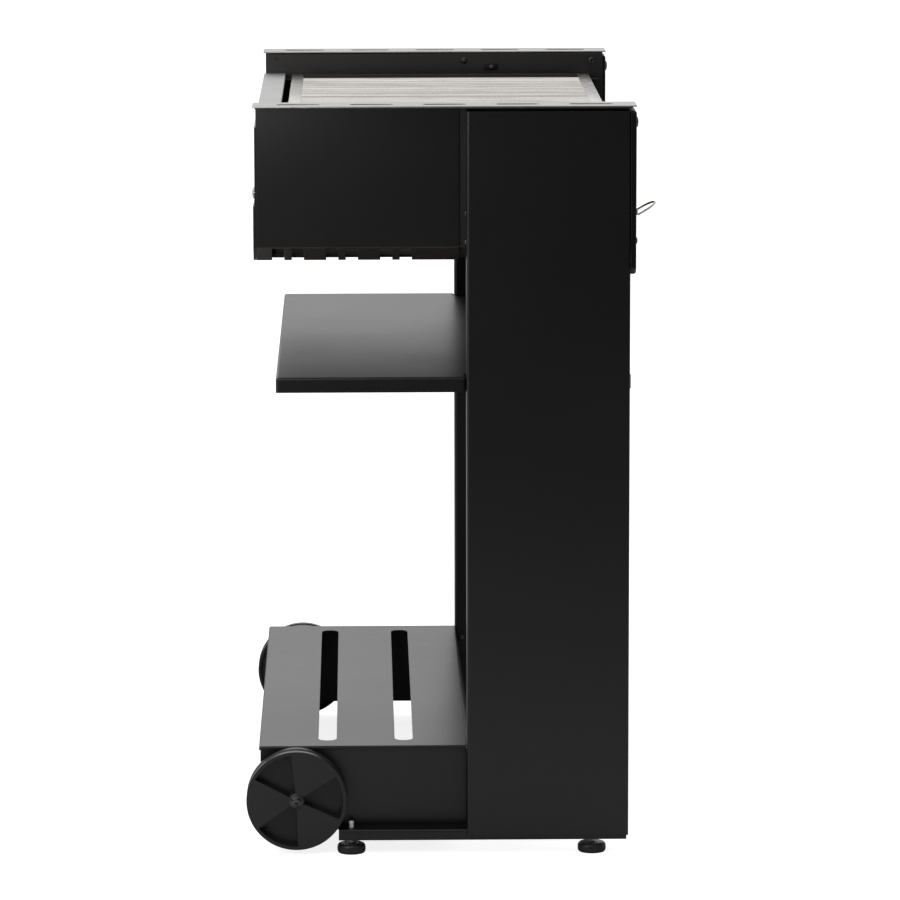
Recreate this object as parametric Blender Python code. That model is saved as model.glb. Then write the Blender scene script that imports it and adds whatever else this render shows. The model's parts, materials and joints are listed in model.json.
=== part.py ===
"""Open charcoal grill: a folded sheet-steel fire box on two posts, with a shelf, a wheeled base and feet.

Metres, +Z up, the floor at z = 0. +X is the front; left is -Y and right is +Y.
Every folded piece is drawn as the section of its sheet and pulled out along the fold, or as a flat
blank whose edges are turned down.
"""

import math

import bmesh
import bpy
from mathutils import Matrix, Vector

MM = 0.001

# Sheet and clearances
SHEET = 1.5 * MM
GAP = 0.3 * MM
BEND = 1.2 * MM
BEND_STEPS = 3
HOLE_CLEARANCE = 0.4 * MM
ROUND_STEPS = 20
SCREW_STEPS = 8

# Overall sizes: the working height, the box's back, its end walls, and where the posts stand
RIM_TOP_Z = 900.0 * MM
BOX_BACK_X = -225.0 * MM
BOX_WALL_Y = 358.0 * MM
POST_BACK_X = 25.0 * MM
POST_WIDTH = 193.0 * MM

# Fire box
BOX_DEPTH = 189.0 * MM
BOX_SLOPE = 16.7 * MM
BACK_WALL_DROP = 30.5 * MM
FRONT_WALL_DROP = 78.0 * MM
WALL_FLANGE = 18.0 * MM
WALL_REACH = 2.5 * MM
SKIRT_HEIGHT = 66.0 * MM
COVER_INSET = 7.7 * MM
VENT_INSET = 20.4 * MM
VENT_PITCH = 64.1 * MM
VENT_WIDTH = 14.3 * MM
VENT_RIB = 8.9 * MM
VENT_PAIRS = 3
VENT_STRIP = 4.0 * MM
FLOOR_LIP = 10.0 * MM

# Rims
RIM_OVERHANG = 2.0 * MM
RIM_REACH = 7.0 * MM
RIM_SLOTS = 5
RIM_SLOT_PITCH = 86.0 * MM
RIM_SLOT_LENGTH = 52.0 * MM
RIM_SLOT_WIDTH = 12.0 * MM

# Posts
POST_DEPTH = 48.0 * MM
POST_LIP = 20.0 * MM
POST_FOOT_Z = 23.7 * MM
POST_TOP_DROP = 6.8 * MM

# Grates
LEDGE_DROP = 35.3 * MM
LEDGE_WIDTH = 12.0 * MM
LEDGE_HEIGHT = 14.0 * MM
GRATE_BACK_INSET = 36.5 * MM
GRATE_FRONT_INSET = 14.7 * MM
GRATE_END_CLEARANCE = 3.6 * MM
GRATE_END_SPACE = 16.0 * MM
GRATE_BAR = 15.5 * MM
GRATE_BAR_HEIGHT = 6.0 * MM
GRATE_ROD_RADIUS = 2.75 * MM
GRATE_ROD_PITCH = 12.5 * MM
CHARCOAL_CLEARANCE = 8.0 * MM
CHARCOAL_LEG = 30.0 * MM
CHARCOAL_ROD_PITCH = 25.0 * MM
TOP_LEDGE_DROP = 28.0 * MM
TOP_LEDGE_WIDTH = 26.0 * MM
TOP_LEDGE_LIP = 6.0 * MM
TOP_LEDGE_BACK = 20.0 * MM

# Front apron and its wire loops
APRON_THICK = 6.8 * MM
APRON_BELOW_FLOOR = 11.0 * MM
APRON_LIP = 2.0 * MM
APRON_CORNER = 7.0 * MM
LOOP_WIRE_RADIUS = 1.3 * MM
LOOP_DROP = 130.0 * MM
LOOP_RISE = 19.0 * MM
LOOP_LENGTH = 24.2 * MM
LOOP_WIDTH = 46.0 * MM
LOOP_INSET = 30.0 * MM
LOOP_ARM = 0.25
LOOP_CURVE = 0.55
LOOP_CURVE_ANGLE = 75.0

# Shelf
SHELF_DROP = 324.3 * MM
SHELF_BACK_INSET = 24.0 * MM
SHELF_TONGUE = 3.5 * MM
SHELF_OVERHANG = 25.0 * MM
SHELF_LIP = 18.0 * MM

# Base
BASE_TOP_Z = 126.8 * MM
BASE_BACK_INSET = 0.5 * MM
BASE_OVERHANG = 13.5 * MM
BASE_LIP = 4.5 * MM
BASE_FLANGE = 12.0 * MM
BASE_SLOT_INSET = 75.2 * MM
BASE_SLOT_PITCH = 92.0 * MM
BASE_SLOT_WIDTH = 22.0 * MM
BASE_SLOT_END = 32.5 * MM

# Bottom rails and feet
RAIL_UNDER_WHEEL = 9.6 * MM
RAIL_FRONT_INSET = 2.0 * MM
RAIL_RISE = 6.8 * MM
RAIL_LIP = 12.9 * MM
RAIL_WIDTH = 30.5 * MM
NUT_RADIUS = 5.8 * MM
NUT_HEIGHT = 5.0 * MM
FOOT_BACK_INSET = 15.2 * MM
FOOT_FRONT_INSET = 41.0 * MM
FOOT_RADIUS = 17.0 * MM
FOOT_HEIGHT = 12.0 * MM
FOOT_UNDERSIDE_INSET = 5.0 * MM
FOOT_EDGE = (3.0 * MM, 5.0 * MM)
FOOT_SHOULDER = (3.0 * MM, 8.5 * MM)
FOOT_TOP_INSET = 5.5 * MM
STUD_RADIUS = 3.0 * MM
STUD_CHAMFER = 0.8 * MM
STUD_ABOVE_RAIL = 7.9 * MM
STUD_SEAT_Z = 4.0 * MM

# Wheels and axle
AXLE_INSET = 45.1 * MM
WHEEL_RADIUS = 60.0 * MM
WHEEL_CLEARANCE = 1.0 * MM
WHEEL_WIDTH = 27.5 * MM
FLOOR_CLEARANCE = 6.0 * MM
WHEEL_RING = 4.0 * MM
WHEEL_RECESS = 9.0 * MM
WHEEL_HUB_RADIUS = 9.5 * MM
WHEEL_BACK_RECESS = 3.0 * MM
WHEEL_EDGE = 2.5 * MM
WHEEL_GROOVE = 1.0 * MM
WHEEL_SECTORS = 3
WHEEL_SECTOR_START = 32.0
WHEEL_SECTOR_ANGLE = 64.0
HUB_RISE = 1.0 * MM
WHEEL_STEPS = 40
AXLE_RADIUS = 5.0 * MM
AXLE_PAST_WHEEL = 4.0 * MM
AXLE_CHAMFER = 0.8 * MM
CLIP_RADIUS = 8.5 * MM
CLIP_HEIGHT = 1.2 * MM
CLIP_TAPER = 1.0 * MM

# Screws: head radius, head height, shank radius, shank length; and how much of a head is its straight rim
DOME_SCREW = (6.5 * MM, 2.6 * MM, 2.5 * MM, 11.5 * MM)
SMALL_SCREW = (4.2 * MM, 2.2 * MM, 2.0 * MM, 9.0 * MM)
BACK_SCREW = (7.0 * MM, 2.5 * MM, 3.0 * MM, 8.0 * MM)
HEAD_RIM = 0.3
APRON_SCREW_DROPS = (21.5 * MM, 128.0 * MM, 162.0 * MM)
POST_BOLT_DROPS = (129.0 * MM, 163.0 * MM)
BACK_SCREW_DROP = 109.0 * MM
BACK_SCREW_INSET = 18.0 * MM
WALL_SCREW_INSETS = (13.0 * MM, 12.5 * MM)
WALL_SCREW_DROP = 12.0 * MM
WALL_HOLE_INSET = 16.6 * MM
WALL_HOLE_DROP = 9.5 * MM
WALL_HOLE_RADIUS = 2.5 * MM
BASE_SCREW_INSET = 8.0 * MM
BASE_SCREW_DROP = 13.8 * MM

# How far a cutter reaches past what it cuts
REACH = 10.0 * MM

# Faces and places that follow from the sizes above
POST_FRONT_X = POST_BACK_X + POST_WIDTH
BOX_FLOOR_Z = RIM_TOP_Z - BOX_DEPTH
BOX_FOLD_Z = BOX_FLOOR_Z + BOX_SLOPE
BOX_FRONT_X = POST_FRONT_X - SHEET - GAP
WALL_Y = BOX_WALL_Y - SHEET - GAP
WALL_INSIDE_Y = WALL_Y - SHEET
WALL_FLANGE_Z = RIM_TOP_Z - SHEET - GAP
BACK_WALL_TOP_Z = RIM_TOP_Z - BACK_WALL_DROP
FRONT_WALL_TOP_Z = RIM_TOP_Z - FRONT_WALL_DROP
WALL_FRONT_X = POST_FRONT_X + WALL_REACH
COVER_FRONT_X = POST_BACK_X - COVER_INSET
VENT_FIRST_X = BOX_BACK_X + VENT_INSET
SKIRT_TOP_Z = BOX_FLOOR_Z + SKIRT_HEIGHT
POST_TOP_Z = RIM_TOP_Z - POST_TOP_DROP
LEDGE_TOP_Z = RIM_TOP_Z - LEDGE_DROP
TOP_LEDGE_Z = RIM_TOP_Z - TOP_LEDGE_DROP
GRATE_BACK_X = BOX_BACK_X + GRATE_BACK_INSET
GRATE_FRONT_X = BOX_FRONT_X - GRATE_FRONT_INSET
POST_FACE_Y = BOX_WALL_Y + POST_DEPTH
POST_INSIDE_Y = BOX_WALL_Y + GAP
POST_MIDDLE_Y = BOX_WALL_Y + POST_DEPTH / 2
APRON_FACE_X = POST_FRONT_X + APRON_THICK
APRON_LOW_Z = BOX_FLOOR_Z - APRON_BELOW_FLOOR
APRON_EAR_TOP_Z = POST_TOP_Z
APRON_EAR = POST_DEPTH
APRON_CUT_Z = FRONT_WALL_TOP_Z + APRON_LIP
WALL_STEP_Z = APRON_CUT_Z + APRON_LIP
LOOP_ROOT_Z = RIM_TOP_Z - LOOP_DROP
LOOP_TIP_Z = LOOP_ROOT_Z + LOOP_RISE
LOOP_TIP_X = APRON_FACE_X + LOOP_LENGTH
SHELF_TOP_Z = RIM_TOP_Z - SHELF_DROP
SHELF_BACK_X = BOX_BACK_X + SHELF_BACK_INSET
SHELF_FRONT_X = POST_FRONT_X + SHELF_TONGUE
SHELF_HALF_WIDTH = BOX_WALL_Y + SHELF_OVERHANG
BASE_BACK_X = BOX_BACK_X + BASE_BACK_INSET
WHEEL_X = BASE_BACK_X + AXLE_INSET
BASE_HALF_WIDTH = BOX_WALL_Y + BASE_OVERHANG
BASE_SLOT_HALF_LENGTH = BASE_HALF_WIDTH - BASE_SLOT_END
PANEL_Y = BASE_HALF_WIDTH - SHEET - GAP
PANEL_TOP_Z = BASE_TOP_Z - SHEET - GAP
BASE_FRONT_X = POST_BACK_X - GAP
LAST_SLOT_X = POST_BACK_X - BASE_SLOT_INSET
BASE_SLOT_X = (LAST_SLOT_X - BASE_SLOT_PITCH, LAST_SLOT_X)
RAIL_INSIDE_Y = PANEL_Y + GAP
RAIL_MIDDLE_Y = RAIL_INSIDE_Y + RAIL_WIDTH / 2
RAIL_BACK_X = WHEEL_X + WHEEL_RADIUS - RAIL_UNDER_WHEEL
RAIL_FRONT_X = POST_FRONT_X - RAIL_FRONT_INSET
RAIL_TOP_Z = POST_FOOT_Z + RAIL_RISE
RAIL_LOW_Z = RAIL_TOP_Z - RAIL_LIP
FOOT_BACK_X = RAIL_BACK_X + FOOT_BACK_INSET
FOOT_FRONT_X = RAIL_FRONT_X - FOOT_FRONT_INSET
STUD_TOP_Z = RAIL_TOP_Z + STUD_ABOVE_RAIL
GRATE_HALF_LENGTH = WALL_INSIDE_Y - GRATE_END_CLEARANCE
FLOOR_SEAT_Z = BOX_FLOOR_Z + 2 * SHEET
WHEEL_Z = WHEEL_RADIUS + FLOOR_CLEARANCE
WHEEL_INNER_Y = BASE_HALF_WIDTH + WHEEL_CLEARANCE
WHEEL_OUTER_Y = WHEEL_INNER_Y + WHEEL_WIDTH
AXLE_END_Y = WHEEL_OUTER_Y + AXLE_PAST_WHEEL
APRON_SCREW_Z = tuple(RIM_TOP_Z - drop for drop in APRON_SCREW_DROPS)
POST_BOLT_Z = tuple(RIM_TOP_Z - drop for drop in POST_BOLT_DROPS)
BACK_SCREW_Z = RIM_TOP_Z - BACK_SCREW_DROP
WALL_SCREW_X = (POST_BACK_X + WALL_SCREW_INSETS[0], POST_FRONT_X - WALL_SCREW_INSETS[1])
WALL_SCREW_Z = RIM_TOP_Z - WALL_SCREW_DROP
WALL_HOLE_PLACE = (BOX_BACK_X + WALL_HOLE_INSET, RIM_TOP_Z - WALL_HOLE_DROP)
BASE_SCREW_X = POST_BACK_X + BASE_SCREW_INSET
BASE_SCREW_Z = BASE_TOP_Z - BASE_SCREW_DROP
RIM_FRONT_X = POST_FRONT_X + RIM_REACH
ORIGIN_X = (LOOP_TIP_X + WHEEL_X - WHEEL_RADIUS) / 2

SIDES = {"left": -1, "right": 1}


def clear_scene():
    for obj in list(bpy.data.objects):
        bpy.data.objects.remove(obj, do_unlink=True)


def add_grill_empty():
    """Every piece hangs on this empty, which puts the origin under the middle of the whole grill."""
    grill = bpy.data.objects.new("grill", None)
    grill.location = (-ORIGIN_X, 0, 0)
    bpy.context.scene.collection.objects.link(grill)
    return grill


def add_material(name, color, roughness, metallic):
    material = bpy.data.materials.new(name)
    material.use_nodes = True
    shader = material.node_tree.nodes["Principled BSDF"]
    shader.inputs["Base Color"].default_value = (*color, 1)
    shader.inputs["Roughness"].default_value = roughness
    shader.inputs["Metallic"].default_value = metallic
    material.diffuse_color = (*color, 1)
    return material


def add_object(name, bm, material):
    """A mesh object on the grill's empty, with flat faces flat and bends smooth."""
    bmesh.ops.recalc_face_normals(bm, faces=bm.faces[:])
    mesh = bpy.data.meshes.new(name)
    bm.to_mesh(mesh)
    bm.free()
    mesh.shade_smooth()
    mesh.set_sharp_from_angle(angle=math.radians(35))
    if material:
        mesh.materials.append(material)
    obj = bpy.data.objects.new(name, mesh)
    bpy.context.scene.collection.objects.link(obj)
    obj.parent = GRILL
    return obj


def in_plane(plane, u, v, depth):
    """The point (u, v) of a drawing plane, at a depth along the axis across it."""
    if plane == "YZ":
        return Vector((depth, u, v))
    if plane == "XZ":
        return Vector((u, depth, v))
    return Vector((u, v, depth))


def folded_outline(corners, thickness=SHEET, bend=BEND, steps=BEND_STEPS):
    """The section of a folded sheet.

    Its face follows the corners. Its thickness lies on their left or, if it is below 0, on their right.
    """
    points = [Vector(corner) for corner in corners]
    runs = [(b - a).normalized() for a, b in zip(points, points[1:])]
    normals = [Vector((-run.y, run.x)) for run in runs]
    face = [points[0]]
    back = [points[0] + normals[0] * thickness]
    for index, corner in enumerate(points[1:-1]):
        run_in, run_out = runs[index], runs[index + 1]
        turn = math.atan2(run_in.cross(run_out), run_in.dot(run_out))
        side = math.copysign(1, turn)
        face_radius = bend + max(0, side * thickness)
        back_radius = face_radius - side * thickness
        reach = side * face_radius / (1 + math.cos(turn))
        middle = corner + (normals[index] + normals[index + 1]) * reach
        for step in range(steps + 1):
            outward = side * (Matrix.Rotation(turn * step / steps, 2) @ normals[index])
            face.append(middle - outward * face_radius)
            back.append(middle - outward * back_radius)
    face.append(points[-1])
    back.append(points[-1] + normals[-1] * thickness)
    return [tuple(point) for point in face + back[::-1]]


def arc(center, radius, start, end, steps):
    """Points along a circle between two angles in degrees."""
    angles = [math.radians(start + (end - start) * step / steps) for step in range(steps + 1)]
    return [(center[0] + radius * math.cos(a), center[1] + radius * math.sin(a)) for a in angles]


def circle(center, radius, steps=ROUND_STEPS):
    return arc(center, radius, 0, 360, steps)[:-1]


def rounded_slot(center, length_u, length_v, steps=8):
    """A slot with round ends, along u or along v, whichever is longer."""
    radius = min(length_u, length_v) / 2
    reach = abs(length_u - length_v) / 2
    if length_u > length_v:
        right = arc((center[0] + reach, center[1]), radius, -90, 90, steps)
        return right + arc((center[0] - reach, center[1]), radius, 90, 270, steps)
    top = arc((center[0], center[1] + reach), radius, 0, 180, steps)
    return top + arc((center[0], center[1] - reach), radius, 180, 360, steps)


def rectangle(low_u, high_u, low_v, high_v):
    return [(low_u, low_v), (high_u, low_v), (high_u, high_v), (low_u, high_v)]


def prisms(name, outlines, plane, low, high, material=None):
    """Closed outlines of one drawing plane, each pulled out from low to high."""
    bm = bmesh.new()
    for outline in outlines:
        corners = [bm.verts.new(in_plane(plane, u, v, low)) for u, v in outline]
        pulled = bmesh.ops.extrude_face_region(bm, geom=[bm.faces.new(corners)])
        moved = [item for item in pulled["geom"] if isinstance(item, bmesh.types.BMVert)]
        bmesh.ops.translate(bm, verts=moved, vec=in_plane(plane, 0, 0, high - low))
    return add_object(name, bm, material)


def pan(name, outline, turned_edges, plane, face, depth, material):
    """A flat blank with some of its edges turned: the turned edges are pulled by depth, then bent round."""
    bm = bmesh.new()
    corners = [bm.verts.new(in_plane(plane, u, v, face)) for u, v in outline]
    bm.faces.new(corners)
    edges = [bm.edges.get((corners[i], corners[(i + 1) % len(corners)])) for i in turned_edges]
    pulled = bmesh.ops.extrude_edge_only(bm, edges=edges)
    moved = [item for item in pulled["geom"] if isinstance(item, bmesh.types.BMVert)]
    bmesh.ops.translate(bm, verts=moved, vec=in_plane(plane, 0, 0, depth))
    bmesh.ops.recalc_face_normals(bm, faces=bm.faces[:])
    folds = [edge for edge in bm.edges if len(edge.link_faces) == 2]
    radius = BEND + SHEET
    bmesh.ops.bevel(bm, geom=folds, offset=radius, segments=BEND_STEPS, affect="EDGES", profile=0.5)
    obj = add_object(name, bm, material)
    inward = 1 if obj.data.polygons[0].normal.dot(in_plane(plane, 0, 0, depth)) > 0 else -1
    thicken = obj.modifiers.new("sheet", "SOLIDIFY")
    thicken.thickness = SHEET
    thicken.offset = inward
    thicken.use_even_offset = True
    return obj


def cut(obj, *cutters):
    """Takes the cutters out of the object, all in one cut."""
    boolean(obj, cutters, "DIFFERENCE")


def join(obj, *others):
    """Makes the others part of the object's solid."""
    boolean(obj, others, "UNION")


def boolean(obj, others, operation):
    tools = bpy.data.collections.new(f"{obj.name}_{operation.lower()}")
    bpy.context.scene.collection.children.link(tools)
    for other in others:
        bpy.context.scene.collection.objects.unlink(other)
        tools.objects.link(other)
        other.hide_render = True
        other.display_type = "WIRE"
    modifier = obj.modifiers.new(operation.lower(), "BOOLEAN")
    modifier.operation = operation
    modifier.solver = "EXACT"
    modifier.operand_type = "COLLECTION"
    modifier.collection = tools


def turned(name, profile, place, direction, material, steps=ROUND_STEPS):
    """A turned piece: the profile's (radius, height) points go round the direction from the place."""
    bm = bmesh.new()
    verts = [bm.verts.new((radius, 0, height)) for radius, height in profile]
    closed = profile[0][0] > 0
    ends = list(zip(verts, verts[1:])) + ([(verts[-1], verts[0])] if closed else [])
    edges = [bm.edges.new(pair) for pair in ends]
    bmesh.ops.spin(bm, geom=verts + edges, cent=(0, 0, 0), axis=(0, 0, 1), angle=2 * math.pi, steps=steps)
    bmesh.ops.remove_doubles(bm, verts=bm.verts[:], dist=0.00001)
    obj = add_object(name, bm, material)
    obj.location = place
    obj.rotation_euler = Vector(direction).to_track_quat("Z", "Y").to_euler()
    return obj


def add_screw(name, size, place, direction):
    """A domed screw: its head stands on the face at the place, its shank goes in against the direction."""
    head_radius, head_height, shank_radius, shank_length = size
    dome = [
        (head_radius * math.cos(a), GAP + head_height * (HEAD_RIM + (1 - HEAD_RIM) * math.sin(a)))
        for a in (0, math.radians(30), math.radians(60))
    ]
    profile = [(0, GAP + head_height), *dome[::-1], (head_radius, GAP), (shank_radius, GAP)]
    profile += [(shank_radius, -shank_length), (0, -shank_length)]
    return turned(name, profile, place, direction, ZINC, SCREW_STEPS)


def screw_holes(name, places, plane, low, high, size):
    """Round cutters for the shanks of one kind of screw."""
    radius = size[2] + HOLE_CLEARANCE
    return prisms(name, [circle(place, radius, SCREW_STEPS) for place in places], plane, low, high)


def add_rims():
    """Flat bright strips on the fire box's end flanges."""
    for side, sign in SIDES.items():
        inner, outer = sorted((sign * WALL_INSIDE_Y, sign * (POST_FACE_Y + RIM_OVERHANG)))
        strip = rectangle(BOX_BACK_X, RIM_FRONT_X, inner, outer)
        rim = prisms(side + "_side_rim", [strip], "XY", RIM_TOP_Z - SHEET, RIM_TOP_Z, STAINLESS)
        middle = sign * POST_MIDDLE_Y
        first = (BOX_BACK_X + RIM_FRONT_X - RIM_SLOT_PITCH * (RIM_SLOTS - 1)) / 2
        slots = [
            rounded_slot((first + RIM_SLOT_PITCH * i, middle), RIM_SLOT_LENGTH, RIM_SLOT_WIDTH)
            for i in range(RIM_SLOTS)
        ]
        cut(rim, prisms(side + "_rim_slots", slots, "XY", RIM_TOP_Z - REACH, RIM_TOP_Z + REACH))


def vent_windows(side, sign):
    """Pairs of windows through the sloping foot of an end wall and its cover."""
    outlines = []
    for pair in range(VENT_PAIRS):
        for window in range(2):
            low = VENT_FIRST_X + pair * VENT_PITCH + window * (VENT_WIDTH + VENT_RIB)
            outlines.append(rectangle(low, low + VENT_WIDTH, BOX_FLOOR_Z + VENT_STRIP, BOX_FOLD_Z - SHEET))
    near, far = sorted((sign * (BOX_WALL_Y - BOX_SLOPE - REACH), sign * (BOX_WALL_Y + REACH)))
    return prisms(side + "_vents", outlines, "XZ", near, far)


def mirrored(section, sign):
    return [(sign * u, v) for u, v in section]


def add_end_walls():
    """Inner end walls: a flange under the rim, the wall, the slope and a flange that carries the floor.

    Above the front wall they run on into the loading cut-out.
    """
    seat_z = FLOOR_SEAT_Z + SHEET
    fold_z = BOX_FOLD_Z + (BOX_WALL_Y - WALL_INSIDE_Y) * math.tan(math.radians(22.5))
    foot_y = WALL_INSIDE_Y - (fold_z - seat_z)
    corners = [
        (POST_FACE_Y - GAP, WALL_FLANGE_Z),
        (WALL_INSIDE_Y, WALL_FLANGE_Z),
        (WALL_INSIDE_Y, fold_z),
        (foot_y, seat_z),
        (foot_y - WALL_FLANGE, seat_z),
    ]
    section = folded_outline(corners)
    front = BOX_FRONT_X - SHEET - GAP
    lower_front = rectangle(front, WALL_FRONT_X + REACH, BOX_FLOOR_Z - REACH, WALL_STEP_Z)
    for side, sign in SIDES.items():
        wall = prisms(
            side + "_end_wall",
            [mirrored(section, sign)],
            "YZ",
            BOX_BACK_X + SHEET + GAP,
            WALL_FRONT_X,
            BLACK_STEEL,
        )
        low, high = sorted((sign * (foot_y - WALL_FLANGE - REACH), sign * (WALL_Y + SHEET)))
        step = prisms(side + "_wall_step", [lower_front], "XZ", low, high)
        near, far = sorted((sign * (WALL_INSIDE_Y - SHEET), sign * (WALL_Y + SHEET)))
        places = [(x, WALL_SCREW_Z) for x in WALL_SCREW_X]
        holes = screw_holes(side + "_wall_holes", places, "XZ", near, far, SMALL_SCREW)
        corner = circle(WALL_HOLE_PLACE, WALL_HOLE_RADIUS, SCREW_STEPS)
        corner_hole = prisms(side + "_wall_corner_hole", [corner], "XZ", near, far)
        cut(wall, step, vent_windows(side + "_wall", sign), holes, corner_hole)


def add_end_covers():
    """Outer skins behind the posts, with the same slope and windows as the walls they lie on."""
    corners = [
        (BOX_WALL_Y, WALL_FLANGE_Z - SHEET - BEND),
        (BOX_WALL_Y, BOX_FOLD_Z),
        (BOX_WALL_Y - BOX_SLOPE, BOX_FLOOR_Z),
    ]
    section = folded_outline(corners, -SHEET)
    for side, sign in SIDES.items():
        cover = prisms(
            side + "_end_cover",
            [mirrored(section, sign)],
            "YZ",
            BOX_BACK_X + SHEET + GAP,
            COVER_FRONT_X,
            BLACK_STEEL,
        )
        cut(cover, vent_windows(side + "_cover", sign))


def box_end_outline(top_z, half_width):
    """The fire box's cross-section as a flat blank, with sloped lower corners."""
    slope = BOX_SLOPE - (BOX_WALL_Y - half_width)
    half = [(half_width - slope, BOX_FLOOR_Z), (half_width, BOX_FLOOR_Z + slope), (half_width, top_z)]
    return half + [(-u, v) for u, v in half[::-1]]


def add_back_wall():
    outline = box_end_outline(BACK_WALL_TOP_Z, BOX_WALL_Y)
    wall = prisms("back_wall", [outline], "YZ", BOX_BACK_X, BOX_BACK_X + SHEET, BLACK_STEEL)
    places = [(sign * (WALL_INSIDE_Y - BACK_SCREW_INSET), BACK_SCREW_Z) for sign in SIDES.values()]
    low, high = BOX_BACK_X - SHEET, BOX_BACK_X + 2 * SHEET
    cut(wall, screw_holes("back_wall_holes", places, "YZ", low, high, BACK_SCREW))


def add_back_skirt():
    """A second sheet over the lower half of the back wall."""
    outline = box_end_outline(SKIRT_TOP_Z, BOX_WALL_Y)
    outside = BOX_BACK_X - GAP
    prisms("back_skirt", [outline], "YZ", outside - SHEET, outside, BLACK_STEEL)


def add_front_wall():
    outline = box_end_outline(FRONT_WALL_TOP_Z, POST_INSIDE_Y - GAP)
    prisms("front_wall", [outline], "YZ", BOX_FRONT_X - SHEET, BOX_FRONT_X, BLACK_STEEL)


def add_back_top_ledge():
    """Bright strip along the back wall's top: a lip in front, the flat top and a long leg down the wall."""
    inside = BOX_BACK_X + SHEET + GAP
    corners = [
        (inside + TOP_LEDGE_WIDTH, TOP_LEDGE_Z - TOP_LEDGE_LIP),
        (inside + TOP_LEDGE_WIDTH, TOP_LEDGE_Z),
        (inside, TOP_LEDGE_Z),
        (inside, TOP_LEDGE_Z - TOP_LEDGE_BACK),
    ]
    half = WALL_INSIDE_Y - GAP
    prisms("back_top_ledge", [folded_outline(corners)], "XZ", -half, half, STAINLESS)


def add_fire_box_floor():
    """The floor lies on the end walls' lower flanges and turns up a little at its ends."""
    low = FLOOR_SEAT_Z + SHEET + GAP
    back = BOX_BACK_X + SHEET + GAP
    front = BOX_FRONT_X - SHEET - GAP
    half = BOX_WALL_Y - BOX_SLOPE - 2 * SHEET
    outline = [(back, -half), (front, -half), (front, half), (back, half)]
    pan("fire_box_floor", outline, (1, 3), "XY", low, FLOOR_LIP, BLACK_STEEL)


def rod_grate(name, back, front, half_length, low_z, pitch, inset, end_space=0.0):
    """A frame of flat bars with rods welded between its back and front bar."""
    high_z = low_z + GRATE_BAR_HEIGHT
    grate = prisms(name, [rectangle(back, front, -half_length, half_length)], "XY", low_z, high_z, STAINLESS)
    opening = rectangle(back + GRATE_BAR, front - GRATE_BAR, -half_length + inset, half_length - inset)
    cut(grate, prisms(name + "_opening", [opening], "XY", low_z - REACH, high_z + REACH))
    count = int((half_length - inset - end_space - pitch / 2) * 2 / pitch) + 1
    first = -pitch * (count - 1) / 2
    middle_z = (low_z + high_z) / 2
    rods = [circle((first + pitch * i, middle_z), GRATE_ROD_RADIUS, 8) for i in range(count)]
    low_x, high_x = back + GRATE_BAR / 2, front - GRATE_BAR / 2
    join(grate, prisms(name + "_rods", rods, "YZ", low_x, high_x))
    return grate


def add_cooking_grate():
    rod_grate(
        "cooking_grate",
        GRATE_BACK_X,
        GRATE_FRONT_X,
        GRATE_HALF_LENGTH,
        LEDGE_TOP_Z + GAP,
        GRATE_ROD_PITCH,
        GRATE_BAR / 2,
        GRATE_END_SPACE,
    )


def add_charcoal_grate():
    """The lower grate stands on four legs on the fire box floor."""
    floor_z = FLOOR_SEAT_Z + 2 * SHEET + GAP
    back = BOX_BACK_X + SHEET + CHARCOAL_CLEARANCE
    front = BOX_FRONT_X - SHEET - CHARCOAL_CLEARANCE
    half = BOX_WALL_Y - BOX_SLOPE - 2 * SHEET - CHARCOAL_CLEARANCE
    low_z = floor_z + GAP + CHARCOAL_LEG
    grate = rod_grate("charcoal_grate", back, front, half, low_z, CHARCOAL_ROD_PITCH, GRATE_BAR)
    legs = [
        rectangle(x, x + GRATE_BAR, *sorted((sign * half, sign * (half - GRATE_BAR_HEIGHT))))
        for x in (back, front - GRATE_BAR)
        for sign in SIDES.values()
    ]
    middle_z = low_z + GRATE_BAR_HEIGHT / 2
    join(grate, prisms("charcoal_legs", legs, "XY", floor_z + GAP, middle_z))


def add_grate_ledges():
    """Angle strips on the end walls that carry the cooking grate."""
    face = WALL_INSIDE_Y - GAP
    corners = [
        (face - LEDGE_WIDTH, LEDGE_TOP_Z),
        (face, LEDGE_TOP_Z),
        (face, LEDGE_TOP_Z - LEDGE_HEIGHT),
    ]
    section = folded_outline(corners, -SHEET)
    back = BOX_BACK_X + SHEET + GAP + TOP_LEDGE_WIDTH + SHEET
    front = BOX_FRONT_X - SHEET - GAP
    for side, sign in SIDES.items():
        prisms(side + "_grate_ledge", [mirrored(section, sign)], "YZ", back, front, BLACK_STEEL)


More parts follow.
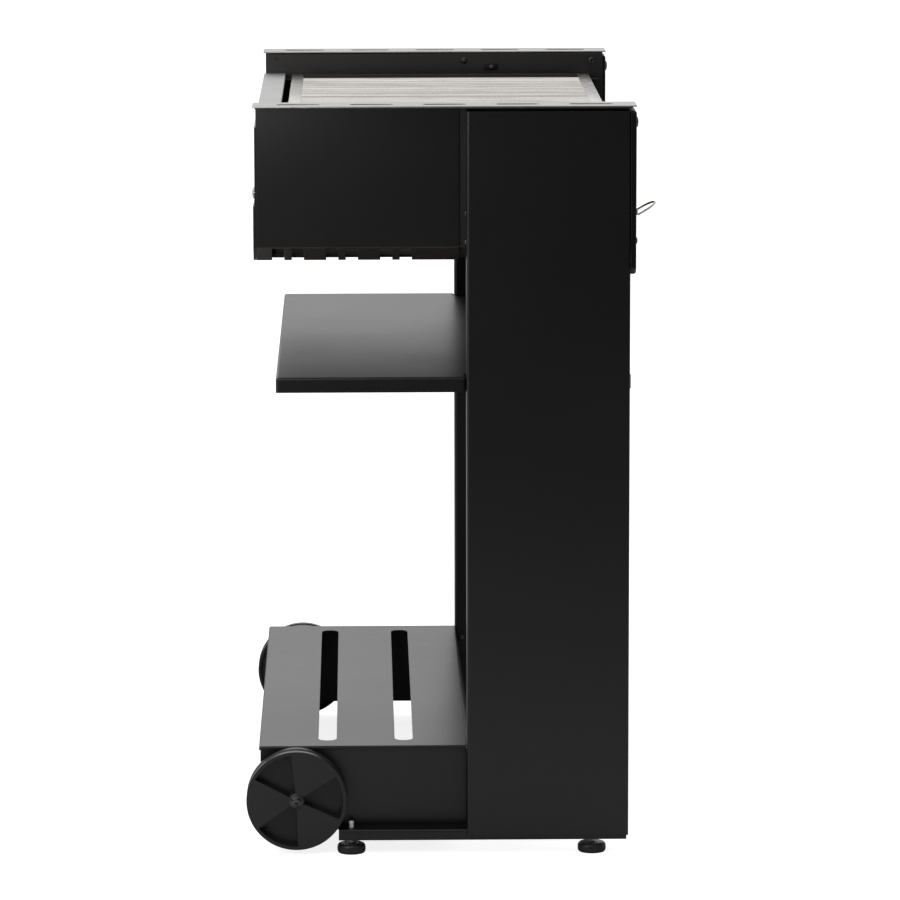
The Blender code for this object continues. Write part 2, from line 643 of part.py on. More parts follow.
def add_posts():
    """Folded channels, open towards the fire box, with return lips and a notch for the bottom rail."""
    face, inside = POST_FACE_Y, POST_INSIDE_Y
    corners = [
        (POST_BACK_X + POST_LIP, inside),
        (POST_BACK_X, inside),
        (POST_BACK_X, face),
        (POST_FRONT_X, face),
        (POST_FRONT_X, inside),
        (POST_FRONT_X - POST_LIP, inside),
    ]
    section = folded_outline(corners, -SHEET)
    for side, sign in SIDES.items():
        outline = [(u, sign * v) for u, v in section]
        post = prisms(side + "_post", [outline], "XY", POST_FOOT_Z, POST_TOP_Z, BLACK_STEEL)
        low, high = sorted((sign * (RAIL_INSIDE_Y - GAP), sign * (RAIL_INSIDE_Y + RAIL_WIDTH + GAP)))
        notch = rectangle(low, high, POST_FOOT_Z - REACH, RAIL_TOP_Z + GAP)
        middle = sign * POST_MIDDLE_Y
        back = POST_BACK_X - SHEET, POST_BACK_X + 2 * SHEET
        front = POST_FRONT_X - 2 * SHEET, POST_FRONT_X + SHEET
        lips = sorted((sign * (inside - SHEET), sign * (inside + 2 * SHEET)))
        bolts = [(middle, z) for z in POST_BOLT_Z]
        ear = [(middle, APRON_SCREW_Z[0])]
        apron = [(middle, z) for z in APRON_SCREW_Z[1:]]
        inner = [(x, WALL_SCREW_Z) for x in WALL_SCREW_X] + [(BASE_SCREW_X, BASE_SCREW_Z)]
        cut(
            post,
            prisms(side + "_post_notch", [notch], "YZ", POST_BACK_X - REACH, POST_BACK_X + REACH),
            screw_holes(side + "_bolt_holes", bolts, "YZ", *back, SMALL_SCREW),
            screw_holes(side + "_ear_hole", ear, "YZ", *front, DOME_SCREW),
            screw_holes(side + "_apron_holes", apron, "YZ", *front, SMALL_SCREW),
            screw_holes(side + "_lip_holes", inner, "XZ", *lips, SMALL_SCREW),
        )


def add_front_apron():
    """Folded panel before the posts: an ear at each end and the loading cut-out between them."""
    face_y = POST_FACE_Y
    half = [
        (face_y - APRON_CORNER, APRON_LOW_Z),
        (face_y, APRON_LOW_Z + APRON_CORNER),
        (face_y, APRON_EAR_TOP_Z),
        (face_y - APRON_EAR, APRON_EAR_TOP_Z),
        (face_y - APRON_EAR, APRON_CUT_Z),
    ]
    outline = half + [(-u, v) for u, v in half[::-1]]
    depth = POST_FRONT_X + GAP - APRON_FACE_X
    apron = pan("front_apron", outline, range(len(outline)), "YZ", APRON_FACE_X, depth, BLACK_STEEL)
    low, high = APRON_FACE_X - 2 * SHEET, APRON_FACE_X + SHEET
    upper = [(sign * POST_MIDDLE_Y, APRON_SCREW_Z[0]) for sign in SIDES.values()]
    lower = [(sign * POST_MIDDLE_Y, z) for z in APRON_SCREW_Z[1:] for sign in SIDES.values()]
    cut(
        apron,
        screw_holes("ear_holes", upper, "YZ", low, high, DOME_SCREW),
        screw_holes("apron_holes", lower, "YZ", low, high, SMALL_SCREW),
    )


def add_tool_loops():
    """Bent wire loops that slope up and forward from the apron."""
    root_x = APRON_FACE_X + GAP + LOOP_WIRE_RADIUS
    tip_x = LOOP_TIP_X - LOOP_WIRE_RADIUS
    half = LOOP_WIDTH / 2
    for side, sign in SIDES.items():
        middle = sign * (POST_FACE_Y - LOOP_INSET)
        wire = bpy.data.curves.new(side + "_tool_loop", "CURVE")
        wire.dimensions = "3D"
        wire.bevel_depth = LOOP_WIRE_RADIUS
        wire.bevel_resolution = 2
        wire.use_fill_caps = True
        wire.materials.append(STAINLESS)
        tip = [
            (1 - LOOP_CURVE + LOOP_CURVE * along, half * across)
            for along, across in arc((0, 0), 1, -LOOP_CURVE_ANGLE, LOOP_CURVE_ANGLE, 10)
        ]
        path = [(0, -half), (LOOP_ARM, -half), *tip, (LOOP_ARM, half), (0, half)]
        spline = wire.splines.new("POLY")
        spline.points.add(len(path) - 1)
        for point, (along, across) in zip(spline.points, path):
            x = root_x + (tip_x - root_x) * along
            z = LOOP_ROOT_Z + (LOOP_TIP_Z - LOOP_ROOT_Z) * along
            point.co = (x, middle + across, z, 1)
        loop = bpy.data.objects.new(side + "_tool_loop", wire)
        bpy.context.scene.collection.objects.link(loop)
        loop.parent = GRILL


def add_shelf():
    """A pan with a lip all round; its narrower tongue passes between the posts and through the front."""
    back, front = SHELF_BACK_X, SHELF_FRONT_X
    step = POST_BACK_X - GAP
    wide, narrow = SHELF_HALF_WIDTH, POST_INSIDE_Y - GAP
    outline = [
        (back, -wide),
        (step, -wide),
        (step, -narrow),
        (front, -narrow),
        (front, narrow),
        (step, narrow),
        (step, wide),
        (back, wide),
    ]
    pan("shelf", outline, range(len(outline)), "XY", SHELF_TOP_Z, -SHELF_LIP, BLACK_STEEL)


def add_base():
    """A low box behind the posts: side, back and front panels under a slotted top with a short lip."""
    half, back, front = BASE_HALF_WIDTH, BASE_BACK_X, BASE_FRONT_X
    outline = [(back, -half), (front, -half), (front, half), (back, half)]
    top = pan("base_top", outline, (0, 2, 3), "XY", BASE_TOP_Z, -BASE_LIP, BLACK_STEEL)
    slots = [rounded_slot((x, 0), BASE_SLOT_WIDTH, 2 * BASE_SLOT_HALF_LENGTH, 12) for x in BASE_SLOT_X]
    cut(top, prisms("base_slots", slots, "XY", BASE_TOP_Z - REACH, BASE_TOP_Z + REACH))
    corners = [(PANEL_Y, POST_FOOT_Z), (PANEL_Y, PANEL_TOP_Z), (PANEL_Y - BASE_FLANGE, PANEL_TOP_Z)]
    section = folded_outline(corners)
    for side, sign in SIDES.items():
        panel = prisms(
            side + "_base_panel", [mirrored(section, sign)], "YZ", back + SHEET + BEND, front, BLACK_STEEL
        )
        low, high = sorted((sign * (PANEL_Y - 2 * SHEET), sign * (PANEL_Y + SHEET)))
        hole = circle((WHEEL_X, WHEEL_Z), AXLE_RADIUS + HOLE_CLEARANCE)
        cut(panel, prisms(side + "_axle_hole", [hole], "XZ", low, high))
    inner = PANEL_Y - SHEET - GAP
    top_z = PANEL_TOP_Z - SHEET - BEND
    ends = {"base_back_panel": back + SHEET + GAP, "base_front_panel": front - SHEET}
    for name, x in ends.items():
        wall = rectangle(-inner, inner, POST_FOOT_Z, top_z)
        prisms(name, [wall], "YZ", x, x + SHEET, BLACK_STEEL)


def add_bottom_rails():
    """Channels under the posts, open below, with weld nuts for the feet."""
    outer = RAIL_INSIDE_Y + RAIL_WIDTH
    corners = [
        (RAIL_INSIDE_Y, POST_FOOT_Z),
        (RAIL_INSIDE_Y, RAIL_TOP_Z),
        (outer, RAIL_TOP_Z),
        (outer, RAIL_LOW_Z),
    ]
    section = folded_outline(corners, -SHEET)
    for side, sign in SIDES.items():
        rail = prisms(
            side + "_bottom_rail", [mirrored(section, sign)], "YZ", RAIL_BACK_X, RAIL_FRONT_X, BLACK_STEEL
        )
        places = [(x, sign * RAIL_MIDDLE_Y) for x in (FOOT_BACK_X, FOOT_FRONT_X)]
        nut_top = RAIL_TOP_Z - SHEET / 2
        nuts = [circle(place, NUT_RADIUS, 6) for place in places]
        join(rail, prisms(side + "_weld_nuts", nuts, "XY", RAIL_TOP_Z - SHEET - NUT_HEIGHT, nut_top))
        holes = [circle(place, STUD_RADIUS + HOLE_CLEARANCE, 16) for place in places]
        cut(rail, prisms(side + "_foot_holes", holes, "XY", POST_FOOT_Z - REACH, RAIL_TOP_Z + REACH))


def add_feet():
    """Round pads on threaded studs; each foot screws up and down in its weld nut."""
    bore = STUD_RADIUS + HOLE_CLEARANCE
    radius = FOOT_RADIUS
    edge_low, edge_high = FOOT_EDGE
    shoulder_inset, shoulder_z = FOOT_SHOULDER
    pad = [
        (0, 0),
        (radius - FOOT_UNDERSIDE_INSET, 0),
        (radius, edge_low),
        (radius, edge_high),
        (radius - shoulder_inset, shoulder_z),
        (radius - FOOT_TOP_INSET, FOOT_HEIGHT),
        (bore, FOOT_HEIGHT),
        (bore, STUD_SEAT_Z),
        (0, STUD_SEAT_Z),
    ]
    low = STUD_SEAT_Z + GAP
    stud = [
        (0, STUD_TOP_Z),
        (STUD_RADIUS - STUD_CHAMFER, STUD_TOP_Z),
        (STUD_RADIUS, STUD_TOP_Z - STUD_CHAMFER),
        (STUD_RADIUS, low),
        (0, low),
    ]
    for side, sign in SIDES.items():
        for end, x in {"back": FOOT_BACK_X, "front": FOOT_FRONT_X}.items():
            place = (x, sign * RAIL_MIDDLE_Y, 0)
            turned(f"{side}_{end}_foot_pad", pad[::-1], place, (0, 0, 1), BLACK_PLASTIC)
            turned(f"{side}_{end}_foot_stud", stud, place, (0, 0, 1), ZINC, 16)


def add_wheels():
    """Moulded wheels: a grooved tread, a ring and three raised sectors round the hub."""
    width = WHEEL_OUTER_Y - WHEEL_INNER_Y
    hub_back = -(WHEEL_INNER_Y - PANEL_Y - GAP)
    bore = AXLE_RADIUS + HOLE_CLEARANCE
    radius, ring = WHEEL_RADIUS, WHEEL_RADIUS - WHEEL_RING
    floor = width - WHEEL_RECESS
    middle, groove = width / 2, WHEEL_GROOVE
    profile = [
        (bore, hub_back),
        (bore, width + HUB_RISE),
        (WHEEL_HUB_RADIUS - HUB_RISE, width + HUB_RISE),
        (WHEEL_HUB_RADIUS, width),
        (WHEEL_HUB_RADIUS, floor),
        (ring, floor),
        (ring, width),
        (radius - WHEEL_EDGE, width),
        (radius, width - WHEEL_EDGE),
        (radius, middle + 2 * groove),
        (radius - groove, middle + groove),
        (radius - groove, middle - groove),
        (radius, middle - 2 * groove),
        (radius, WHEEL_EDGE),
        (radius - WHEEL_EDGE, 0),
        (ring, 0),
        (ring - WHEEL_BACK_RECESS, WHEEL_BACK_RECESS),
        (WHEEL_HUB_RADIUS + WHEEL_BACK_RECESS, WHEEL_BACK_RECESS),
        (WHEEL_HUB_RADIUS, hub_back),
    ]
    outer, inner = ring + WHEEL_RING / 4, WHEEL_HUB_RADIUS - HUB_RISE
    sectors = []
    for number in range(WHEEL_SECTORS):
        start = WHEEL_SECTOR_START + number * 360 / WHEEL_SECTORS
        end = start + WHEEL_SECTOR_ANGLE
        sectors.append(arc((0, 0), outer, start, end, 10) + arc((0, 0), inner, end, start, 4))
    for side, sign in SIDES.items():
        place = (WHEEL_X, sign * WHEEL_INNER_Y, WHEEL_Z)
        wheel = turned(side + "_wheel", profile, place, (0, sign, 0), BLACK_PLASTIC, WHEEL_STEPS)
        wheel.rotation_euler = (math.radians(-90) * sign, 0, 0)
        raised = prisms(side + "_wheel_sectors", sectors, "XY", floor - groove, width - GAP)
        raised.parent = wheel
        join(wheel, raised)


def add_axle():
    """One rod through the base, with a push-on clip outside each wheel."""
    length = 2 * AXLE_END_Y
    chamfer = AXLE_CHAMFER
    rod = [
        (0, length),
        (AXLE_RADIUS - chamfer, length),
        (AXLE_RADIUS, length - chamfer),
        (AXLE_RADIUS, chamfer),
        (AXLE_RADIUS - chamfer, 0),
        (0, 0),
    ]
    turned("axle", rod, (WHEEL_X, -AXLE_END_Y, WHEEL_Z), (0, 1, 0), ZINC)
    bore = AXLE_RADIUS + GAP
    clip = [(bore, 0), (bore, CLIP_HEIGHT), (CLIP_RADIUS - CLIP_TAPER, CLIP_HEIGHT), (CLIP_RADIUS, 0)]
    for side, sign in SIDES.items():
        place = (WHEEL_X, sign * (WHEEL_OUTER_Y + HUB_RISE + GAP), WHEEL_Z)
        turned(side + "_axle_clip", clip, place, (0, sign, 0), ZINC)


def add_screws():
    for side, sign in SIDES.items():
        middle = sign * POST_MIDDLE_Y
        add_screw(side + "_ear_screw", DOME_SCREW, (APRON_FACE_X, middle, APRON_SCREW_Z[0]), (1, 0, 0))
        for place, z in zip(("upper", "lower"), APRON_SCREW_Z[1:]):
            add_screw(f"{side}_apron_{place}_screw", SMALL_SCREW, (APRON_FACE_X, middle, z), (1, 0, 0))
        for place, z in zip(("upper", "lower"), POST_BOLT_Z):
            add_screw(f"{side}_post_{place}_bolt", SMALL_SCREW, (POST_BACK_X, middle, z), (-1, 0, 0))
        inset = sign * (WALL_INSIDE_Y - BACK_SCREW_INSET)
        add_screw(side + "_back_screw", BACK_SCREW, (BOX_BACK_X, inset, BACK_SCREW_Z), (-1, 0, 0))
        for place, x in zip(("back", "front"), WALL_SCREW_X):
            point = (x, sign * WALL_INSIDE_Y, WALL_SCREW_Z)
            add_screw(f"{side}_wall_{place}_screw", SMALL_SCREW, point, (0, -sign, 0))
        point = (BASE_SCREW_X, sign * POST_INSIDE_Y, BASE_SCREW_Z)
        add_screw(side + "_base_screw", SMALL_SCREW, point, (0, -sign, 0))


clear_scene()
GRILL = add_grill_empty()
BLACK_STEEL = add_material("black_powder_coat", (0.018, 0.018, 0.020), 0.42, 0.0)
STAINLESS = add_material("brushed_stainless", (0.62, 0.60, 0.57), 0.32, 1.0)
ZINC = add_material("zinc_plated", (0.55, 0.57, 0.60), 0.35, 1.0)
BLACK_PLASTIC = add_material("black_plastic", (0.012, 0.012, 0.012), 0.30, 0.0)
add_rims()
add_end_walls()
add_end_covers()
add_back_wall()
add_back_skirt()
add_front_wall()
add_back_top_ledge()
add_fire_box_floor()
add_grate_ledges()
add_cooking_grate()
add_charcoal_grate()
add_posts()
add_front_apron()
add_tool_loops()
add_shelf()
add_base()
add_bottom_rails()
add_feet()
add_wheels()
add_axle()
add_screws()
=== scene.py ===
import json
import math

import bpy
from mathutils import Matrix, Vector

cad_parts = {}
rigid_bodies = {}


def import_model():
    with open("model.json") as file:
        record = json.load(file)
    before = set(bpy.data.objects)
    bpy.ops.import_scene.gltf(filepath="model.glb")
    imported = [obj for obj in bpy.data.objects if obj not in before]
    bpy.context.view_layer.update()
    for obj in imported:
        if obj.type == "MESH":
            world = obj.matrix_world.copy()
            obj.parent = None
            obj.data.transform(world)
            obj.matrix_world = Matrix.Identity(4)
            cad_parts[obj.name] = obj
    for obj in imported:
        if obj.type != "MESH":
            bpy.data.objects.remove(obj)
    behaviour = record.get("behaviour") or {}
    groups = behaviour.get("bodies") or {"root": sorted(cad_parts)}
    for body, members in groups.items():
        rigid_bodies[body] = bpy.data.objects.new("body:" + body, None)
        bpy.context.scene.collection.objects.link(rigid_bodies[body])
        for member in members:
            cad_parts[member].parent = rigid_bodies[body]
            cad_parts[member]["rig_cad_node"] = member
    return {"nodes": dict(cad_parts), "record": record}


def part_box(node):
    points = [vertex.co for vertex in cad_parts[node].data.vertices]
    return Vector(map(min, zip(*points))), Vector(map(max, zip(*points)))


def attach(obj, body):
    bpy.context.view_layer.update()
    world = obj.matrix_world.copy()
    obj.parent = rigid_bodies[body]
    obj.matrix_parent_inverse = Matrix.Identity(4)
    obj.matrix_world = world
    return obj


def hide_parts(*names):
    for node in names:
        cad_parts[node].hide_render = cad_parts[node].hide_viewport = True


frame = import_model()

for startupName in ("Cube", "Light", "Camera"):
    startupObject = bpy.data.objects.get(startupName)
    if startupObject:
        bpy.data.objects.remove(startupObject)
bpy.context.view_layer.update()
print("frame loaded:", len(frame["nodes"]), "nodes")


# camera, from the left end of the grill with its front to the right

cameraView = {
    "place": (-0.10676, -6.36801, 1.46558),
    "yaw": 1.0276,        # degrees towards the front
    "pitch": 9.2710,      # degrees down
    "roll": 0.0919,
    "lens": 204.29,       # mm on a 36 mm sensor
}


def placeCamera(view):
    cameraData = bpy.data.cameras.new("viewCamera")
    cameraData.lens = view["lens"]
    cameraData.sensor_width = 36
    cameraData.clip_end = 200
    camera = bpy.data.objects.new("viewCamera", cameraData)
    turn = Matrix.Rotation(math.radians(-view["yaw"]), 4, "Z")
    tilt = Matrix.Rotation(math.radians(90 - view["pitch"]), 4, "X")
    spin = Matrix.Rotation(math.radians(-view["roll"]), 4, "Z")
    camera.matrix_world = Matrix.Translation(view["place"]) @ turn @ tilt @ spin
    bpy.context.scene.collection.objects.link(camera)
    bpy.context.scene.camera = camera


placeCamera(cameraView)
bpy.context.scene.view_settings.view_transform = "Standard"


# shader sockets that add, multiply and so on as Python numbers do

class Wire:
    def __init__(self, tree, socket):
        self.tree = tree
        self.socket = socket

    def maths(self, operation, first, second=None):
        return addNode(self.tree, "ShaderNodeMath", {"operation": operation}, {0: first, 1: second})

    def __add__(self, other):
        return self.maths("ADD", self, other)

    def __radd__(self, other):
        return self.maths("ADD", other, self)

    def __sub__(self, other):
        return self.maths("SUBTRACT", self, other)

    def __rsub__(self, other):
        return self.maths("SUBTRACT", other, self)

    def __mul__(self, other):
        return self.maths("MULTIPLY", self, other)

    def __rmul__(self, other):
        return self.maths("MULTIPLY", other, self)

    def __truediv__(self, other):
        return self.maths("DIVIDE", self, other)

    def absolute(self):
        return self.maths("ABSOLUTE", self)

    def floored(self):
        return self.maths("FLOOR", self)

    def rising(self, low, high):
        return addNode(
            self.tree,
            "ShaderNodeMapRange",
            {"interpolation_type": "SMOOTHSTEP"},
            {"Value": self, "From Min": low, "From Max": high},
        )


def addNode(tree, kind, settings, inputs, output=0):
    node = tree.nodes.new(kind)
    for name, value in settings.items():
        setattr(node, name, value)
    for name, value in inputs.items():
        if value is None:
            continue
        if isinstance(value, Wire):
            tree.links.new(value.socket, node.inputs[name])
        else:
            node.inputs[name].default_value = value
    return Wire(tree, node.outputs[output])


def newMaterial(name):
    material = bpy.data.materials.new(name)
    material.use_nodes = True
    tree = material.node_tree
    return material, tree, tree.nodes["Principled BSDF"]


def feed(shader, **inputs):
    tree = shader.id_data
    for name, value in inputs.items():
        socket = shader.inputs[name.replace("_", " ")]
        if isinstance(value, Wire):
            tree.links.new(value.socket, socket)
        else:
            socket.default_value = value


def objectPoint(tree):
    return addNode(tree, "ShaderNodeTexCoord", {}, {}, "Object")


def partOf(tree, vector, axis):
    return addNode(tree, "ShaderNodeSeparateXYZ", {}, {"Vector": vector}, axis)


def stretched(tree, scale, where):
    return addNode(tree, "ShaderNodeMapping", {}, {"Vector": where, "Scale": scale})


def noise(tree, where, scale, detail=2.0, rough=0.5):
    inputs = {"Vector": where, "Scale": scale, "Detail": detail, "Roughness": rough}
    return addNode(tree, "ShaderNodeTexNoise", {}, inputs, "Fac")


def mixedColor(tree, share, first, second):
    inputs = {0: share, 6: first, 7: second}
    return addNode(tree, "ShaderNodeMix", {"data_type": "RGBA"}, inputs, 2)


def grey(value, warm=0.0):
    return (value * (1 + warm), value, value * (1 - warm), 1)


def trueNormal(tree):
    return addNode(tree, "ShaderNodeNewGeometry", {}, {}, "True Normal")


def edgeMask(tree, radius):
    # how far the surface turns within this radius: 0 on a flat face, 1 on an edge
    rounded = addNode(tree, "ShaderNodeBevel", {"samples": 6}, {"Radius": radius})
    both = {0: rounded, 1: trueNormal(tree)}
    agree = addNode(tree, "ShaderNodeVectorMath", {"operation": "DOT_PRODUCT"}, both, "Value")
    return (1 - agree).rising(0.01, 0.25), rounded


def bumpOf(tree, height, depth, rounded=None):
    return addNode(tree, "ShaderNodeBump", {}, {"Height": height, "Distance": depth, "Normal": rounded})


powderCoat = {
    "color": 0.0042,
    "cloudSize": 5,         # patterns are counted in grains per metre
    "speckleSize": 900,
    "peelSize": 700,
    "rubbedSize": 22,
    "roughness": 0.34,
    "peelDepth": 0.000010,
    "edgeRadius": 0.0009,
    "gloss": 0.50,
    # edges are painted lighter: partly edge wear, partly a painted highlight along them
    "edgeColor": 0.022,
    # painted light: faces that look down at the height of the fire box's bottom take this lighter colour,
    # as if lit by the floor below
    "faded": (0.030, 0.025, 0.022, 1),
    "fadedFrom": 0.700,     # heights between which what looks down is painted lighter, a painted light bounced up from the floor
    "fadedTo": 0.733,
    "fadedBlur": 0.005,
}
# painted shade and painted highlight: the apron's coat is darker, as if it stood in shadow, and its edges
# lighter, a painted lit line along them
shadedApronCoat = dict(powderCoat, color=0.003, roughness=0.36, gloss=0.30, edgeColor=0.05)
# painted sheen: the end walls get a lighter coat, standing in for the lamps' sheen on them
sheenWallCoat = dict(powderCoat, color=0.016, roughness=0.38)


def makePowderCoat(name, look):
    material, tree, shader = newMaterial(name)
    where = objectPoint(tree)
    clouds = noise(tree, where, look["cloudSize"], 3)
    speckle = noise(tree, where, look["speckleSize"], 2, 0.6)
    peel = noise(tree, where, look["peelSize"], 3, 0.55)
    rubbed = noise(tree, stretched(tree, (3, 3, 0.6), where), look["rubbedSize"], 4, 0.6).rising(0.55, 0.8)
    edge, rounded = edgeMask(tree, look["edgeRadius"])
    dark = look["color"]
    base = mixedColor(tree, clouds, grey(dark * 0.85, -0.03), grey(dark * 1.15, 0.02))
    base = mixedColor(tree, speckle.rising(0.62, 0.8) * 0.5, base, grey(dark * 2.6))
    # edges painted lighter: edge wear together with a painted edge highlight
    base = mixedColor(tree, edge * 0.55, base, grey(look["edgeColor"]))
    height = partOf(tree, where, "Z")
    down = partOf(tree, trueNormal(tree), "Z") * -1
    above = height.rising(look["fadedFrom"], look["fadedFrom"] + look["fadedBlur"])
    past = height.rising(look["fadedTo"] - look["fadedBlur"] * 1.2, look["fadedTo"])
    # painted light: what looks down at these heights is painted lighter, standing in for light bounced up
    # from the floor
    faded = down.rising(0.3, 0.6) * (above * (1 - past))
    base = mixedColor(tree, faded * (0.8 + clouds * 0.2), base, look["faded"])
    rough = look["roughness"] + (clouds - 0.5) * 0.06 + (speckle - 0.5) * 0.12 - rubbed * 0.03 - edge * 0.08
    bump = bumpOf(tree, peel + speckle * 0.35, look["peelDepth"], rounded)
    feed(shader, Base_Color=base, Roughness=rough, Normal=bump)
    shader.inputs["Specular IOR Level"].default_value = look["gloss"]
    return material


brushedSteel = {
    "color": (0.64, 0.62, 0.59, 1),
    "stained": (0.50, 0.475, 0.44, 1),
    "roughness": 0.27,
    "lines": 2600,          # brush lines per metre across the grain
    "lineLength": 18,       # the same along it
    "lineDepth": 0.00002,
    "cloudSize": 9,
    "smearSize": 45,
    "edgeRadius": 0.0006,
    "bandWidth": 0,         # metres between pieces whose tone differs
    "bandStart": 0,
    "sootFrom": 0,          # metres from the middle to where the steel is painted dark, a painted reflection of the dark end walls
    "soot": (0.011, 0.010, 0.009, 1),
    "polish": 1.0,          # 1 for bare metal, less where soot covers it all and on the cooking grate's end bars, which are painted dark
}
flangeSteel = dict(brushedSteel, color=(0.56, 0.56, 0.56, 1), roughness=0.55, lineDepth=0.00005)
rodLook = dict(
    brushedSteel,
    color=(0.84, 0.81, 0.775, 1),
    uneven=(0.48, 0.45, 0.42, 1),
    bandWidth=0.0125,
    bandStart=0.00625,
    sootFrom=0.3000,
)
# burnt steel: real soot on the fire box floor, the ledges, the welds and the charcoal grate; on the cooking
# grate's end bars a painted dark reflection of the end walls
burntAndShadeSteel = dict(
    brushedSteel,
    color=(0.030, 0.026, 0.024, 1),
    stained=(0.012, 0.010, 0.009, 1),
    roughness=0.70,
    polish=0.0,
)
loopSteel = dict(brushedSteel, roughness=0.40)
rimSteel = dict(
    brushedSteel, color=(0.43, 0.42, 0.405, 1), stained=(0.35, 0.33, 0.31, 1), roughness=0.34
)


def makeBrushedSteel(name, look, grainAxis):
    material, tree, shader = newMaterial(name)
    where = objectPoint(tree)
    scale = [look["lines"]] * 3
    scale[grainAxis] = look["lineLength"]
    lines = noise(tree, stretched(tree, scale, where), 1, 3, 0.7)
    clouds = noise(tree, where, look["cloudSize"], 3)
    smears = noise(tree, where, look["smearSize"], 4, 0.6).rising(0.5, 0.85)
    edge, rounded = edgeMask(tree, look["edgeRadius"])
    base = mixedColor(tree, clouds.rising(0.35, 0.9) * 0.5 + smears * 0.15, look["color"], look["stained"])
    base = mixedColor(tree, (lines - 0.5).absolute() * 0.6, base, grey(0.34, 0.03))
    base = mixedColor(tree, edge * 0.35 * look["polish"], base, grey(0.8))
    across = partOf(tree, where, "Y")
    if look["bandWidth"]:
        band = ((across + look["bandStart"]) / look["bandWidth"]).floored()
        tone = addNode(tree, "ShaderNodeTexWhiteNoise", {"noise_dimensions": "1D"}, {"W": band})
        streaks = noise(tree, stretched(tree, (7, 60, 1), where), 1, 2, 0.5)
        base = mixedColor(tree, tone.rising(0.35, 0.9) * 0.9, base, look["uneven"])
        base = mixedColor(tree, streaks.rising(0.45, 0.7) * 0.5, base, grey(0.36, 0.05))
    metal = look["polish"] - smears * 0.02
    rough = look["roughness"] + (lines - 0.5) * 0.22 + smears * 0.10
    # painted reflection: the rods nearest the end walls are painted dark, standing in for the dark walls
    # reflected in them
    if look["sootFrom"]:
        soot = across.absolute().rising(look["sootFrom"] - 0.001, look["sootFrom"] + 0.001)
        base = mixedColor(tree, soot, base, look["soot"])
        metal = metal * (1 - soot)
        rough = rough + soot * 0.5
    bump = bumpOf(tree, lines, look["lineDepth"], rounded)
    feed(shader, Base_Color=base, Roughness=rough, Normal=bump, Metallic=metal)
    if look["polish"] < 1 or look["sootFrom"]:
        shader.inputs["Specular IOR Level"].default_value = 0.25
    return material


zincPlating = {
    "color": (0.52, 0.54, 0.56, 1),
    "tint": (0.44, 0.42, 0.36, 1),
    "patchSize": 160,
    "dullSize": 700,
    "dullDepth": 0.00002,
    "roughness": 0.24,
    "metal": 1.0,
}
darkZinc = dict(
    zincPlating, color=(0.10, 0.10, 0.105, 1), tint=(0.05, 0.05, 0.05, 1), roughness=0.18
)
studZinc = dict(
    zincPlating, color=(0.92, 0.94, 0.96, 1), tint=(0.86, 0.89, 0.91, 1), roughness=0.40, metal=0.10
)


def makeZinc(name, look):
    material, tree, shader = newMaterial(name)
    where = objectPoint(tree)
    patches = noise(tree, where, look["patchSize"], 3, 0.6)
    dull = noise(tree, where, look["dullSize"], 3, 0.6)
    base = mixedColor(tree, patches.rising(0.45, 0.75), look["color"], look["tint"])
    rough = look["roughness"] + (dull - 0.5) * 0.25
    bump = bumpOf(tree, dull, look["dullDepth"])
    feed(shader, Base_Color=base, Roughness=rough, Normal=bump, Metallic=look["metal"])
    return material


mouldedPlastic = {
    "color": 0.016,
    "roughness": 0.36,
    "grain": 1500,
    "grainDepth": 0.00003,
    "cloudSize": 26,
    "scuffSize": 120,
    "edgeRadius": 0.0008,
    "gloss": 0.38,
}
# painted shade: the wheels' sunk fields get a darker plastic, standing in for the shade in these recesses
sunkShadeMoulding = dict(mouldedPlastic, color=0.009, roughness=0.34)
clipBlack = dict(mouldedPlastic, color=0.003, roughness=0.55)


def makePlastic(name, look):
    material, tree, shader = newMaterial(name)
    where = objectPoint(tree)
    grain = noise(tree, where, look["grain"], 2)
    clouds = noise(tree, where, look["cloudSize"], 3)
    scuffs = noise(tree, stretched(tree, (1, 4, 1), where), look["scuffSize"], 4, 0.7).rising(0.62, 0.8)
    edge, rounded = edgeMask(tree, look["edgeRadius"])
    dark = look["color"]
    base = mixedColor(tree, clouds, grey(dark * 0.85), grey(dark * 1.2))
    base = mixedColor(tree, scuffs * 0.3 + edge * 0.3, base, grey(dark * 3))
    rough = look["roughness"] + (clouds - 0.5) * 0.10 + scuffs * 0.12
    bump = bumpOf(tree, grain, look["grainDepth"], rounded)
    feed(shader, Base_Color=base, Roughness=rough, Normal=bump)
    shader.inputs["Specular IOR Level"].default_value = look["gloss"]
    return material


finishes = {
    "black_steel": makePowderCoat("satinBlackPowderCoat", powderCoat),
    "stainless": makeBrushedSteel("brushedSteelLengthwise", brushedSteel, 0),
    "zinc": makeZinc("brightZincPlating", zincPlating),
    "black_plastic": makePlastic("mouldedBlackPlastic", mouldedPlastic),
}
shadedApronFinish = makePowderCoat("shadedApronPowderCoat", shadedApronCoat)
sheenWallFinish = makePowderCoat("sheenWallPowderCoat", sheenWallCoat)
rimFinish = makeBrushedSteel("rimSteel", rimSteel, 0)
flangeFinish = makeBrushedSteel("satinSteel", flangeSteel, 0)
burntAndShadeFinish = makeBrushedSteel("burntAndShadeSteel", burntAndShadeSteel, 0)
loopFinish = makeBrushedSteel("wireSteel", loopSteel, 0)
studFinish = makeZinc("dullZincPlating", studZinc)
rodSteel = makeBrushedSteel("brushedRodSteel", rodLook, 0)
darkSteel = makeZinc("darkZincPlating", darkZinc)
sunkShadePlastic = makePlastic("sunkShadeBlackPlastic", sunkShadeMoulding)
plainBlack = makePlastic("plainBlackSteel", clipBlack)
print("finishes made:", ", ".join(finishes))

